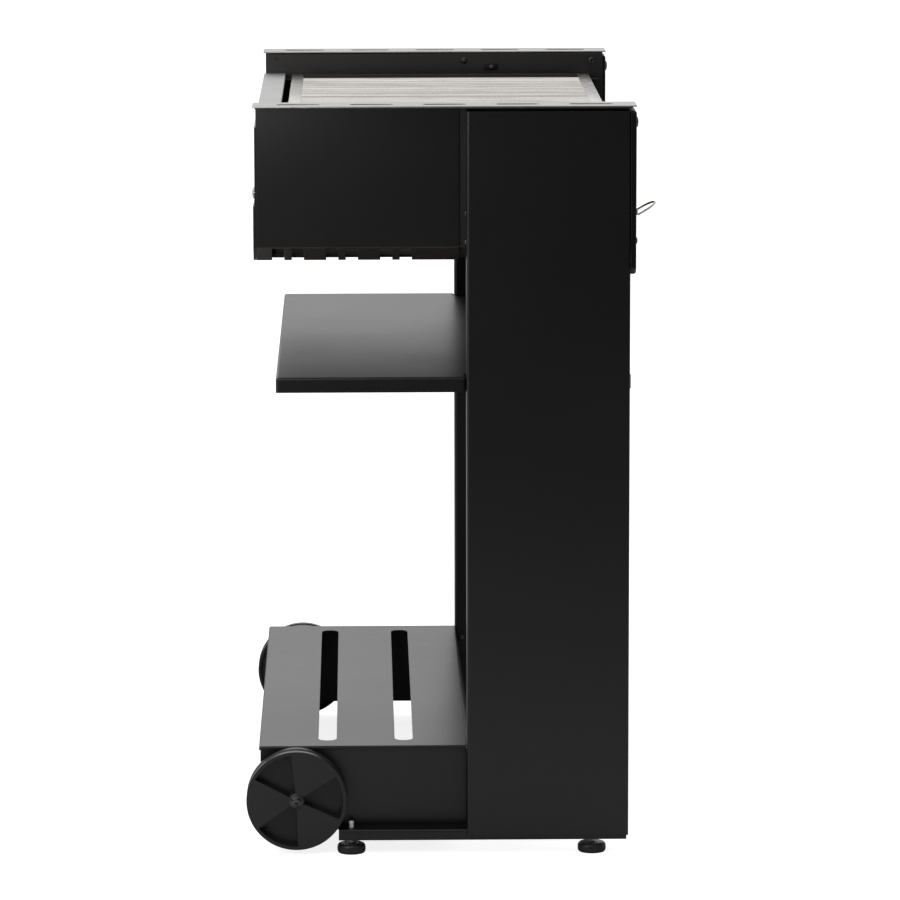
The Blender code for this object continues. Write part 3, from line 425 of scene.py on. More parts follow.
# the nodes whose finish isn't their slot's plain one
ownFinish = {
    "fire_box_floor": burntAndShadeFinish,
    "left_grate_ledge": burntAndShadeFinish,
    "right_grate_ledge": burntAndShadeFinish,
    # the apron's coat holds painted shade and a painted edge highlight, the end walls' coat a painted sheen
    "front_apron": shadedApronFinish,
    "left_end_wall": sheenWallFinish,
    "right_end_wall": sheenWallFinish,
}
for part in frame["record"]["subparts"]:
    materials = frame["nodes"][part["node"]].data.materials
    materials.clear()
    materials.append(ownFinish.get(part["node"], finishes[part["material_slot"]]))


# sizes that many pieces share, in metres

touchGap = 0.0003           # what the sheets that touch are apart
sheetThickness = 0.0015
hairline = 0.00002          # an inset too narrow to see


# what the modelling below is done with

def deselectAll():
    if bpy.context.object and bpy.context.object.mode != "OBJECT":
        bpy.ops.object.mode_set(mode="OBJECT")
    bpy.ops.object.select_all(action="DESELECT")


def startPiece(name, addPrimitive, **settings):
    deselectAll()
    addPrimitive(**settings)
    piece = bpy.context.object
    piece.name = name
    piece.data.name = name
    return piece


def selectFaces(piece, wanted):
    # wanted gets each face's centre and normal on the piece's own axes
    bpy.ops.object.mode_set(mode="EDIT")
    bpy.ops.mesh.select_mode(type="FACE")
    bpy.ops.mesh.select_all(action="DESELECT")
    bpy.ops.object.mode_set(mode="OBJECT")
    for face in piece.data.polygons:
        face.select = bool(wanted(face.center, face.normal))
    bpy.ops.object.mode_set(mode="EDIT")


def selectPoints(piece, wanted):
    bpy.ops.object.mode_set(mode="EDIT")
    bpy.ops.mesh.select_mode(type="VERT")
    bpy.ops.mesh.select_all(action="DESELECT")
    bpy.ops.object.mode_set(mode="OBJECT")
    for vertex in piece.data.vertices:
        vertex.select = bool(wanted(vertex.co))
    bpy.ops.object.mode_set(mode="EDIT")


def startBox(name, place=(0, 0, 0), size=(1, 1, 1)):
    # place is its middle, here and for round ones
    return startPiece(name, bpy.ops.mesh.primitive_cube_add, size=1, location=place, scale=size)


def startRound(name, sides, radius, depth, place, turn=(0, 0, 0)):
    return startPiece(
        name,
        bpy.ops.mesh.primitive_cylinder_add,
        vertices=sides,
        radius=radius,
        depth=depth,
        location=place,
        rotation=turn,
    )


def insetSteps(steps, acrossSize=1.0, upSize=1.0):
    # each step goes in and then out along the faces' normals
    for inward, outward in steps:
        bpy.ops.mesh.inset(thickness=inward * acrossSize, depth=outward * upSize)


def selectOnly(piece):
    deselectAll()
    piece.select_set(True)
    bpy.context.view_layer.objects.active = piece


def applyModifier(piece, kind, **settings):
    selectOnly(piece)
    modifier = piece.modifiers.new(kind.lower(), kind)
    for name, value in settings.items():
        setattr(modifier, name, value)
    bpy.ops.object.modifier_apply(modifier=modifier.name)


def cutAway(piece, *cutters):
    for cutter in cutters:
        applyModifier(piece, "BOOLEAN", operation="DIFFERENCE", solver="EXACT", object=cutter)
        bpy.data.objects.remove(cutter, do_unlink=True)


def joinPieces(first, *others):
    selectOnly(first)
    for other in others:
        other.select_set(True)
    bpy.ops.object.join()
    return first


def settle(piece):
    # the place and the turn go into the mesh
    selectOnly(piece)
    bpy.ops.object.transform_apply(location=True, rotation=True, scale=True)


def softenEdges(piece, width, segments=2, angle=35):
    limit = math.radians(angle)
    applyModifier(
        piece, "BEVEL", width=width, segments=segments, limit_method="ANGLE", angle_limit=limit
    )


def handOver(piece, body, finish, replaced=(), smoothAngle=40):
    settle(piece)
    bpy.ops.object.shade_smooth_by_angle(angle=math.radians(smoothAngle))
    if finish:
        piece.data.materials.clear()
        piece.data.materials.append(finish)
    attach(piece, body)
    if replaced:
        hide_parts(*replaced)
    return piece


def facing(direction):
    return Vector(direction).to_track_quat("Z", "Y").to_euler()


def middleOf(low, high):
    return (low + high) / 2


# screws: pan and dome heads with a cross or a hexagon recess

screwKinds = {
    "pan": {"head": 0.0042, "height": 0.0022, "shank": 0.002, "length": 0.009, "recess": "cross"},
    "dome": {"head": 0.0065, "height": 0.0026, "shank": 0.0025, "length": 0.0115, "recess": "hexagon"},
    "back": {"head": 0.007, "height": 0.0025, "shank": 0.003, "length": 0.008, "recess": "cross"},
    "clip": {"head": 0.0034, "height": 0.0014, "shank": 0.0015, "length": 0.0012, "recess": "cross"},
}
screwHead = {
    "rim": 0.35,            # the straight foot's share of the height
    "steps": ((0.10, 0.42), (0.16, 0.34), (0.26, 0.24)),    # in, of the radius, and up, of the rise
    "edge": 0.00018,
    "tip": 0.0004,
    "hexagon": 0.42,        # shares of the head's radius
    "arm": 1.15,
    "armWidth": 0.24,
    "hexagonDepth": 0.0034,
    "armDepth": 0.0026,
}


def addRecess(kind, name, seat, direction, turn):
    top = seat + Vector(direction) * (kind["height"] + touchGap)
    spin = Matrix.Rotation(turn, 4, "Z")
    way = Vector(direction).to_track_quat("Z", "Y").to_matrix().to_4x4()
    placed = Matrix.Translation(top) @ way @ spin
    head, shape = kind["head"], screwHead
    if kind["recess"] == "hexagon":
        cutter = startRound(name, 6, head * shape["hexagon"], shape["hexagonDepth"], (0, 0, 0))
        cutter.matrix_world = placed
        return [cutter]
    cutters = []
    for quarter in (0, 1):
        cutter = startBox(name)
        size = Matrix.Diagonal((head * shape["arm"], head * shape["armWidth"], shape["armDepth"], 1))
        cutter.matrix_world = placed @ Matrix.Rotation(quarter * math.pi / 2, 4, "Z") @ size
        cutters.append(cutter)
    return cutters


def makeScrew(name, kindName, seat, direction, turn, finish, replaced=()):
    kind = screwKinds[kindName]
    half = kind["height"] * screwHead["rim"] / 2
    screw = startRound(
        name, 32, kind["head"], half * 2,
        seat + Vector(direction) * (half + touchGap),
        facing(direction),
    )
    selectFaces(screw, lambda place, normal: normal.z > 0.9)
    rise = kind["height"] - half * 2
    insetSteps(screwHead["steps"], kind["head"], rise)
    selectFaces(screw, lambda place, normal: normal.z < -0.9)
    insetSteps((
        (kind["head"] - kind["shank"], 0),
        (hairline, kind["length"]),
        (screwHead["tip"], screwHead["tip"]),
    ))
    settle(screw)
    cutAway(screw, *addRecess(kind, name + "Recess", seat, direction, turn))
    softenEdges(screw, screwHead["edge"], 1, 40)
    return handOver(screw, "frame", finish, replaced)


def seatOf(nodeName, axis, outward, kindName):
    # the face that a CAD screw's head stands on, from its box
    low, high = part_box(nodeName)
    seat = middleOf(low, high)
    end = high[axis] if outward > 0 else low[axis]
    seat[axis] = end - outward * (screwKinds[kindName]["height"] + touchGap)
    return seat


for side, sign in (("left", -1), ("right", 1)):
    places = [
        (side + "_ear_screw", "dome", 0, 1),
        (side + "_apron_upper_screw", "pan", 0, 1),
        (side + "_apron_lower_screw", "pan", 0, 1),
        (side + "_post_upper_bolt", "pan", 0, -1),
        (side + "_post_lower_bolt", "pan", 0, -1),
        (side + "_back_screw", "back", 0, -1),
        (side + "_wall_back_screw", "pan", 1, -sign),
        (side + "_wall_front_screw", "pan", 1, -sign),
        (side + "_base_screw", "pan", 1, -sign),
    ]
    for number, (nodeName, kindName, axis, outward) in enumerate(places):
        direction = (outward, 0, 0) if axis == 0 else (0, outward, 0)
        turn = math.radians(17 + 37 * number + 11 * sign)
        seat = seatOf(nodeName, axis, outward, kindName)
        finish = finishes["zinc"] if kindName == "back" else darkSteel
        makeScrew(nodeName + "_cut", kindName, seat, direction, turn, finish, (nodeName,))
print("screws made")


# ledge clips: a small plate with its screw, high on each end wall; and a rivet in each rail

ledgeClip = {
    "x": 0.0687,
    "z": 0.8795,
    "length": 0.019,
    "height": 0.0085,
    "thick": 0.0010,
    "edge": 0.0003,
    "screwAside": 0.0008,
    "screwDrop": 0.0004,
    "screwTurn": 30,        # degrees
}
railRivet = {
    "x": -0.1110,
    "z": 0.0240,
    "radius": 0.0033,
    "height": 0.0009,
    "steps": ((0.22, 0.3), (0.35, 0.15)),   # in, of the radius, and up, of the height
}


def makeLedgeClip(side, sign, look):
    # it stands on the wall's inner face, which the ledge touches too
    ledgeLow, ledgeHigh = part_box(side + "_grate_ledge")
    face = (ledgeHigh.y if sign > 0 else ledgeLow.y) + sign * touchGap
    middle = Vector((look["x"], face - sign * look["thick"] / 2, look["z"]))
    plate = startBox(side + "_ledge_clip", middle, (look["length"], look["thick"], look["height"]))
    settle(plate)
    selectFaces(plate, lambda place, normal: normal.z < -0.9)
    bpy.ops.mesh.inset(thickness=hairline)
    softenEdges(plate, look["edge"])
    handOver(plate, "frame", plainBlack)
    seat = Vector((look["x"], face - sign * look["thick"], look["z"]))
    seat += Vector((look["screwAside"], 0, -look["screwDrop"]))
    turn = math.radians(look["screwTurn"] * sign)
    makeScrew(side + "_ledge_clip_screw", "clip", seat, (0, -sign, 0), turn, darkSteel)


def makeRivet(side, sign, look):
    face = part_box(side + "_bottom_rail")[1 if sign > 0 else 0][1]
    seat = Vector((look["x"], face + sign * look["height"] * 0.25, look["z"]))
    rivet = startRound(
        side + "_rail_rivet", 32, look["radius"], look["height"] * 0.5,
        seat,
        facing((0, sign, 0)),
    )
    selectFaces(rivet, lambda place, normal: normal.z > 0.9)
    insetSteps(look["steps"], look["radius"], look["height"])
    handOver(rivet, "frame", finishes["black_steel"], smoothAngle=60)


# buttons: flat black plugs in the spare holes of the end covers

coverButton = {"x": -0.2084, "z": 0.8919, "radius": 0.0023, "height": 0.0004}


def makeButton(side, sign, look):
    # on the sheet's inner face, one sheet in from its outer one
    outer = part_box(side + "_end_cover")[1 if sign > 0 else 0][1]
    button = startRound(
        side + "_cover_button", 24, look["radius"], look["height"],
        (look["x"], outer - sign * (sheetThickness + look["height"] / 2), look["z"]),
        facing((0, -sign, 0)),
    )
    selectFaces(button, lambda place, normal: normal.z > 0.9)
    bpy.ops.mesh.inset(thickness=look["radius"] * 0.3, depth=-look["height"] * 0.5)
    handOver(button, "frame", plainBlack)


for side, sign in (("left", -1), ("right", 1)):
    makeLedgeClip(side, sign, ledgeClip)
    makeRivet(side, sign, railRivet)
    makeButton(side, sign, coverButton)
print("ledge clips, rivets and buttons made")


# grates: flat bars with bevelled edges, round rods between them and a weld at each end of a rod

cookingGrate = {
    "pitch": 0.0125,
    "rod": 0.00275,         # radius
    "rodEnd": 0.0015,       # how far a rod runs into a bar
    "bar": 0.0155,
    "barThick": 0.006,
    "barEdge": 0.0007,
    "endBar": 0.00775,
    "endInto": 0.0002,      # how far an end bar runs into the long ones
    "endSpace": 0.016,      # between the last rod's pitch and the end bar
    "legInto": 0.001,
    "weldShape": (0.7, 1.12, 0.95),
    "weldDrop": 0.0004,
}
charcoalGrate = dict(cookingGrate, pitch=0.025, endBar=0.0155, endSpace=0.0)


def addBar(name, look, low, high):
    bar = startBox(name, middleOf(low, high), high - low)
    settle(bar)
    softenEdges(bar, look["barEdge"])
    return bar


def addRod(name, look, lowX, highX, place):
    rod = startRound(
        name, 14, look["rod"], highX - lowX,
        ((lowX + highX) / 2, *place),
        facing((1, 0, 0)),
    )
    settle(rod)
    return rod


def addWeld(name, look, place):
    weld = startPiece(
        name,
        bpy.ops.mesh.primitive_uv_sphere_add,
        segments=8,
        ring_count=6,
        radius=look["rod"],
        location=place,
        scale=look["weldShape"],
    )
    settle(weld)
    return weld


def copyTo(piece, name, shift):
    selectOnly(piece)
    bpy.ops.object.duplicate(linked=False)
    copied = bpy.context.object
    copied.name = name
    copied.data.name = name
    copied.location = shift
    settle(copied)
    return copied


def makeGrate(nodeName, body, look, finish, rodFinish, legs):
    low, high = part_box(nodeName)
    barLow = high.z - look["barThick"]
    bars = [
        (Vector((low.x, low.y, barLow)), Vector((low.x + look["bar"], high.y, high.z))),
        (Vector((high.x - look["bar"], low.y, barLow)), high.copy()),
    ]
    for edge, inward in ((low.y, 1), (high.y, -1)):
        near, far = sorted((edge, edge + inward * look["endBar"]))
        bars.append((
            Vector((low.x + look["bar"] - look["endInto"], near, barLow + touchGap)),
            Vector((high.x - look["bar"] + look["endInto"], far, high.z - touchGap)),
        ))
    if legs:
        for x in (low.x, high.x - look["bar"]):
            for edge, inward in ((low.y, 1), (high.y, -1)):
                near, far = sorted((edge, edge + inward * look["barThick"]))
                legTop = barLow + look["legInto"]
                bars.append((Vector((x, near, low.z)), Vector((x + look["bar"], far, legTop))))
    frameBars = [addBar(f"{nodeName}_bar{number}", look, *ends) for number, ends in enumerate(bars)]
    endBars = joinPieces(*frameBars[2:4])
    endBars.name = nodeName + "_end_bars"
    # the end bars take the burnt finish: real soot on the charcoal grate, and on the cooking grate a
    # painted dark reflection of the end walls
    handOver(endBars, body, burntAndShadeFinish)
    grate = joinPieces(*frameBars[:2], *frameBars[4:])
    grate.name = nodeName + "_frame_bars"
    handOver(grate, body, finish, (nodeName,))

    halfLength = (high.y - low.y) / 2
    reach = halfLength - look["endBar"] - look["endSpace"]
    count = int((reach - look["pitch"] / 2) * 2 / look["pitch"]) + 1
    first = -look["pitch"] * (count - 1) / 2
    rodZ = middleOf(barLow, high.z)
    lowX = low.x + look["bar"] - look["rodEnd"]
    highX = high.x - look["bar"] + look["rodEnd"]
    firstRod = addRod(nodeName + "_rod", look, lowX, highX, (first, rodZ))
    firstWeld = joinPieces(*(
        addWeld(nodeName + "_weld", look, (x, first, rodZ - look["weldDrop"]))
        for x in (low.x + look["bar"], high.x - look["bar"])
    ))
    for piece, finish in ((firstRod, rodFinish), (firstWeld, burntAndShadeFinish)):
        name = piece.name
        copies = [
            copyTo(piece, f"{name}{number}", (0, look["pitch"] * number, 0)) for number in range(1, count)
        ]
        row = joinPieces(piece, *copies)
        row.name = name + "s"
        handOver(row, body, finish, smoothAngle=60)
    return count


# rims: flat strips with rounded corners and five slots each

rimLook = {
    "past": 0.0012,         # how far it runs on behind the back wall
    "corner": 0.0022,
    "edge": 0.00025,
    "slots": 5,
    "slotPitch": 0.086,
    "slotLength": 0.052,
    "slotWidth": 0.012,
    "cutDepth": 0.01,
}


def makeRim(side, sign, look):
    nodeName = side + "_side_rim"
    low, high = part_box(nodeName)
    start = Vector((low.x - look["past"], low.y, low.z))
    middle = middleOf(start, high)
    rim = startBox(nodeName + "_strip", middle, high - start)
    settle(rim)
    bpy.ops.object.mode_set(mode="EDIT")
    bpy.ops.mesh.select_mode(type="EDGE")
    bpy.ops.mesh.select_all(action="DESELECT")
    bpy.ops.object.mode_set(mode="OBJECT")
    for edge in rim.data.edges:
        first, second = (rim.data.vertices[number].co for number in edge.vertices)
        edge.select = abs(first.z - second.z) > 0.001
    bpy.ops.object.mode_set(mode="EDIT")
    bpy.ops.mesh.bevel(offset=look["corner"], segments=5)
    bpy.ops.object.mode_set(mode="OBJECT")
    slotY = middleOf(*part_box(side + "_post")).y
    firstSlot = middleOf(low, high).x - look["slotPitch"] * (look["slots"] - 1) / 2
    straight = look["slotLength"] - look["slotWidth"]
    cutters = []
    for number in range(look["slots"]):
        place = Vector((firstSlot + look["slotPitch"] * number, slotY, middle.z))
        slot = startRound(nodeName + "Slot", 32, look["slotWidth"] / 2, look["cutDepth"], place)
        for way in (1, -1):
            selectPoints(slot, lambda place: place.x * way > 0.0001)
            bpy.ops.transform.translate(value=(way * straight / 2, 0, 0))
        settle(slot)
        cutters.append(slot)
    cutAway(rim, *cutters)
    softenEdges(rim, look["edge"], 1, 40)
    handOver(rim, "frame", rimFinish, (nodeName,))


# base: a tongue along the front of the top sheet, between the posts

baseTongue = {
    "width": 0.0080,        # at the left end
    "farWidth": 0.0006,     # at the right end
    "thick": 0.0040,
    "drop": 0.0003,
    "overlap": 0.0016,      # how far it runs back under the sheet's edge
    "edge": 0.0004,
}


def makeTongue(look):
    low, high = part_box("base_top")
    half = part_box("right_post")[0].y - touchGap * 2
    tongue = startBox(
        "base_top_tongue",
        (
            high.x + (look["width"] - look["overlap"]) / 2,
            0,
            high.z - look["drop"] - look["thick"] / 2,
        ),
        (look["width"] + look["overlap"], half * 2, look["thick"]),
    )
    settle(tongue)
    selectPoints(tongue, lambda place: place.x > high.x and place.y > 0)
    bpy.ops.transform.translate(value=(look["farWidth"] - look["width"], 0, 0))
    bpy.ops.object.mode_set(mode="OBJECT")
    softenEdges(tongue, look["edge"])
    handOver(tongue, "frame", finishes["black_steel"])


baseSeam = {
    "radius": 0.00042,
    "short": 0.0020,        # what it leaves free at each end
    "inward": 0.00018,
    "outward": 0.0001,
    "end": ((0.0001, 0.0001),),
}


def makeSeam(side, sign, look):
    # a bead that closes the joint between the base's side panel and the post
    low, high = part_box(side + "_base_panel")
    outer = high.y if sign > 0 else low.y
    seam = startRound(
        side + "_base_seam", 12, look["radius"], high.z - low.z - look["short"] * 2,
        (high.x - look["inward"], outer + sign * look["outward"], middleOf(low, high).z),
    )
    selectFaces(seam, lambda place, normal: abs(normal.z) > 0.9)
    insetSteps(look["end"])
    handOver(seam, "frame", plainBlack, smoothAngle=60)


# end covers: the sheet with its vent windows open down to the bottom edge

coverNotch = {
    "first": -0.2094,
    "width": 0.0143,
    "rib": 0.0089,          # between the two of a pair
    "pitch": 0.0641,
    "pairs": 3,
    "top": 0.7274,
    "past": 0.001,          # how far the cutter runs out below
    "deeper": 0.01,         # how much deeper it is than the cover
}


def makeCover(side, sign, look):
    nodeName = side + "_end_cover"
    low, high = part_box(nodeName)
    selectOnly(frame["nodes"][nodeName])
    bpy.ops.object.duplicate(linked=False)
    cover = bpy.context.object
    cover.name = nodeName + "_sheet"
    cover.data.name = nodeName + "_sheet"
    cover.parent = None
    del cover["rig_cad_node"]
    bpy.ops.object.mode_set(mode="EDIT")
    bpy.ops.mesh.select_all(action="SELECT")
    bpy.ops.mesh.remove_doubles(threshold=0.00001)
    bpy.ops.object.mode_set(mode="OBJECT")
    bpy.ops.mesh.customdata_custom_splitnormals_clear()
    bottom = low.z - look["past"]
    for number in range(look["pairs"] * 2):
        pair, window = divmod(number, 2)
        start = look["first"] + look["pitch"] * pair + (look["width"] + look["rib"]) * window
        notch = startBox(
            nodeName + "Notch",
            (start + look["width"] / 2, (low.y + high.y) / 2, (bottom + look["top"]) / 2),
            (look["width"], high.y - low.y + look["deeper"], look["top"] - bottom),
        )
        settle(notch)
        cutAway(cover, notch)
    handOver(cover, "frame", finishes["black_steel"], (nodeName,), 30)


# back ledge: a folded sheet over the back wall's top, with a short lip in front

backLedge = {"lip": 0.0060, "over": 0.0021, "fold": 0.0006}


def makeBackLedge(look):
    low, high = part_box("back_top_ledge")
    sheet = sheetThickness
    start = Vector((low.x + sheet, low.y, high.z - sheet))
    end = Vector((high.x - sheet, high.y, high.z))
    ledge = startBox("back_ledge_sheet", middleOf(start, end), end - start)
    settle(ledge)
    backDrop = high.z - sheet - low.z
    for way, edgeX, drop in ((1, end.x, look["lip"] - sheet), (-1, start.x, backDrop)):
        selectFaces(ledge, lambda place, normal: normal.x * way > 0.9 and place.z > high.z - sheet)
        bpy.ops.mesh.extrude_region_move(TRANSFORM_OT_translate={"value": (way * sheet, 0, 0)})
        bpy.ops.object.mode_set(mode="OBJECT")
        selectFaces(ledge, lambda place, normal: normal.z < -0.9 and (place.x - edgeX) * way > 0)
        bpy.ops.mesh.extrude_region_move(TRANSFORM_OT_translate={"value": (0, 0, -drop)})
        bpy.ops.object.mode_set(mode="OBJECT")
    selectFaces(
        ledge,
        lambda place, normal: normal.x < -0.9 and place.z > high.z - sheet and place.x < start.x,
    )
    bpy.ops.mesh.extrude_region_move(TRANSFORM_OT_translate={"value": (-look["over"], 0, 0)})
    bpy.ops.object.mode_set(mode="OBJECT")
    softenEdges(ledge, look["fold"])
    handOver(ledge, "frame", flangeFinish, ("back_top_ledge",))


# tool loops: smooth bent wire

toolLoop = {
    "wire": 0.0013,         # radius
    "width": 0.046,
    "lift": 0.0125,
    # half of its outline: shares of its reach from the apron and of its half width
    "path": ((-0.16, -1), (0.15, -1), (0.42, -0.985), (0.68, -0.86), (0.90, -0.52), (1, 0)),
}


def makeToolLoop(side, look):
    nodeName = side + "_tool_loop"
    low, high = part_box(nodeName)
    wire, half = look["wire"], look["width"] / 2
    middleY = (low.y + high.y) / 2
    rootX, tipX = low.x + wire * 0.6, high.x - wire
    rootZ = low.z + wire
    tipZ = rootZ + look["lift"]
    path = list(look["path"])
    path += [(along, -aside) for along, aside in path[-2::-1]]
    bpy.ops.curve.primitive_bezier_curve_add(location=(0, 0, 0))
    loop = bpy.context.object
    loop.name = nodeName + "_wire"
    curve = loop.data
    curve.bevel_depth = wire
    curve.bevel_resolution = 4
    curve.resolution_u = 10
    curve.use_fill_caps = True
    points = curve.splines[0].bezier_points
    points.add(len(path) - len(points))
    for point, (along, aside) in zip(points, path):
        start = max(along, 0)
        x = rootX + (tipX - rootX) * along if along > 0 else rootX
        point.co = (x, middleY + half * aside, rootZ + (tipZ - rootZ) * start)
        point.handle_left_type = "AUTO"
        point.handle_right_type = "AUTO"
    selectOnly(loop)
    bpy.ops.object.convert(target="MESH")
    handOver(bpy.context.object, "frame", loopFinish, (nodeName,), 60)


# wheels: moulded, with three raised sectors, sunk fields between them and a grooved tread

wheelLook = {
    "radius": 0.060,
    "innerY": 0.3725,
    "width": 0.0275,
    "land": 0.0040,         # the flush ring at the edge
    "hub": 0.0095,
    "hubRise": 0.0008,
    "hubSlope": 0.0012,
    "backHub": 0.0025,
    "backSunk": 0.0040,
    "backSlope": 0.0010,
    "sunk": 0.0160,
    "sectorStart": 32,      # degrees
    "sectorAngle": 64,
    "bore": 0.0054,
    "boreDepth": 0.08,
    "tread": ((0.0022, 0), (0.0068, 0), (0.0006, -0.0012)),     # each step goes in and out
    "boss": 0.0017,
    "bossHeight": 0.0026,
    "bossTop": ((0.0004, 0.0003),),
    "bossRise": 0.0010,     # its middle above the sunk field
    "bossInside": 0.0045,   # from the flush ring
    "bossTurn": -47,        # degrees from a sector's start
    "edge": 0.00045,
}


def outwardOn(sign, angle, reach, depth=0.0):
    # a place on a wheel, from its middle: the angle turns from the front, up on the left wheel
    return Vector((math.cos(angle) * reach, sign * depth, -sign * math.sin(angle) * reach))


def makeFieldCutter(name, look, faceMiddle, sign, number):
    # a slice of a disc, from one raised sector's side to the next one's
    start = math.radians(look["sectorStart"] + look["sectorAngle"] + 120 * number)
    end = math.radians(look["sectorStart"] + 120 * (number + 1))
    cutter = startRound(
        name, 96, look["radius"] - look["land"], look["sunk"] * 2,
        faceMiddle,
        (math.radians(-90) * sign, 0, 0),
    )
    settle(cutter)
    for angle, way in ((start, 1), (end, -1)):
        bpy.ops.object.mode_set(mode="EDIT")
        bpy.ops.mesh.select_all(action="SELECT")
        along = outwardOn(sign, angle + way * math.pi / 2, 1)
        bpy.ops.mesh.bisect(plane_co=faceMiddle, plane_no=along, use_fill=True, clear_inner=True)
        bpy.ops.object.mode_set(mode="OBJECT")
    hub = startRound(
        name + "Hub", 64, look["hub"], look["sunk"] * 3,
        faceMiddle,
        (math.radians(90), 0, 0),
    )
    cutAway(cutter, hub)
    return cutter


def makeWheel(side, sign, look, finish, sunkShadeFinish):
    nodeName = side + "_wheel"
    low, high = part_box(nodeName)
    centre = middleOf(low, high)
    centre.y = sign * (look["innerY"] + look["width"] / 2)
    wheel = startRound(
        nodeName + "_moulding", 120, look["radius"], look["width"],
        centre,
        (math.radians(-90) * sign, 0, 0),
    )
    top = look["width"] / 2
    selectFaces(wheel, lambda place, normal: abs(normal.z) < 0.1)
    insetSteps(look["tread"])
    for end in (1, -1):
        selectFaces(wheel, lambda place, normal: normal.z * end > 0.9)
        rise = look["hubRise"] if end > 0 else look["backHub"]
        insetSteps((
            (look["land"], 0),
            (look["radius"] - look["land"] - look["hub"], 0),
            (look["hubSlope"], rise),
        ))
    selectFaces(
        wheel,
        lambda place, normal: normal.z < -0.9
        and look["hub"] - 0.001 < place.xy.length < look["radius"] - look["land"],
    )
    insetSteps([(look["backSlope"], -look["backSunk"])])
    settle(wheel)
    faceMiddle = centre + Vector((0, sign * top, 0))
    fields = [
        makeFieldCutter(f"{nodeName}Field{number}", look, faceMiddle, sign, number) for number in range(3)
    ]
    crosswise = (math.radians(90), 0, 0)
    bore = startRound(nodeName + "Bore", 40, look["bore"], look["boreDepth"], centre, crosswise)
    cutAway(wheel, *fields, bore)
    softenEdges(wheel, look["edge"])
    wheel.data.materials.append(finish)
    wheel.data.materials.append(sunkShadeFinish)
    # the sunk fields' faces take the darker plastic, painted shade in the recesses
    fieldY = faceMiddle.y - sign * look["sunk"]
    for face in wheel.data.polygons:
        face.material_index = int(abs(face.center.y - fieldY) < 0.0004 and face.normal.y * sign > 0.5)
    bosses = []
    for number in range(3):
        angle = math.radians(look["sectorStart"] + 120 * number + look["bossTurn"])
        reach = look["radius"] - look["land"] - look["bossInside"]
        boss = startRound(
            nodeName + "Boss", 16, look["boss"], look["bossHeight"],
            faceMiddle + outwardOn(sign, angle, reach, look["bossRise"] - look["sunk"]),
            facing((0, sign, 0)),
        )
        selectFaces(boss, lambda place, normal: normal.z > 0.9)
        insetSteps(look["bossTop"])
        bpy.ops.object.mode_set(mode="OBJECT")
        settle(boss)
        boss.data.materials.append(finish)
        bosses.append(boss)
    joinPieces(wheel, *bosses)
    handOver(wheel, nodeName, None, (nodeName,), 32)


# axle caps: pressed caps with a rolled edge and a dimple, over the axle's ends

axleCap = {
    "radius": 0.0076,
    "past": 0.0008,         # beyond the axle's end
    "rim": 0.45,            # the straight part's share
    # the rolled edge, then the crown: each step's way in, its fixed rise and its share of the crown's
    "steps": (
        (0.0006, 0.0003, 0), (0.0010, -0.0003, 0), (0.0007, 0, 0.75),
        (0.0012, 0, 0.25), (0.0012, 0, 0), (0.0008, -0.0004, 0),
    ),
    "edge": 0.0002,
}


def makeAxleCap(side, sign, look):
    nodeName = side + "_axle_clip"
    low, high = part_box(nodeName)
    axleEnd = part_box("axle")[1 if sign > 0 else 0].y
    inner = low.y if sign > 0 else high.y
    depth = abs(axleEnd - inner) * look["rim"]
    cap = startRound(
        nodeName + "_cap", 48, look["radius"], depth,
        (middleOf(low, high).x, inner + sign * depth / 2, middleOf(low, high).z),
        facing((0, sign, 0)),
    )
    rise = abs(axleEnd - inner) + look["past"] - depth
    selectFaces(cap, lambda place, normal: normal.z > 0.9)
    for inward, fixed, share in look["steps"]:
        bpy.ops.mesh.inset(thickness=inward, depth=fixed + rise * share)
    settle(cap)
    softenEdges(cap, look["edge"])
    handOver(cap, "frame", darkSteel, (nodeName,))


# feet: moulded pads on threaded studs

footLook = {
    "bottom": 0.0154,       # radius
    "bottomThick": 0.0004,
    # the wall swells out and comes in again: each ring's rise and radius
    "rings": (
        (0.0009, 0.0165), (0.0016, 0.0169), (0.0026, 0.0170), (0.0026, 0.0168),
        (0.0016, 0.0161), (0.0010, 0.0150), (0.0006, 0.0134), (0.0002, 0.0100),
    ),
    "topSteps": ((0.0022, 0), (0.0006, 0.0004)),
    "bottomSteps": ((0.0050, 0), (0.0006, -0.0003)),
    "stud": 0.003,          # radius
    "boreGap": 0.0004,
    "boreDepth": 0.02,
    "boreMiddle": 0.014,
    "pitch": 0.00125,
    "threadDepth": 0.00022,
    "thread": (0.40, 0.15, 0.40, 0.05),     # shares of the pitch: out, crest, in, root
    "plain": 0.0008,        # what each end has no thread on
    "end": ((0.0006, 0.0005),),
}


def makeFootPad(name, body, look, finish):
    nodeName = body + "_pad"
    low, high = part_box(nodeName)
    centre = middleOf(low, high)
    pad = startRound(
        name, 72, look["bottom"], look["bottomThick"],
        (centre.x, centre.y, look["bottomThick"] / 2),
    )
    reach = look["bottom"]
    selectFaces(pad, lambda place, normal: normal.z > 0.9)
    for rise, radius in look["rings"]:
        bpy.ops.mesh.extrude_region_move(TRANSFORM_OT_translate={"value": (0, 0, rise)})
        bpy.ops.transform.resize(value=(radius / reach, radius / reach, 1))
        reach = radius
    insetSteps(look["topSteps"])
    selectFaces(pad, lambda place, normal: normal.z < -0.9)
    insetSteps(look["bottomSteps"])
    settle(pad)
    bore = startRound(
        name + "Bore", 24, look["stud"] + look["boreGap"], look["boreDepth"],
        (centre.x, centre.y, look["boreMiddle"]),
    )
    cutAway(pad, bore)
    handOver(pad, body, finish, (nodeName,), 50)


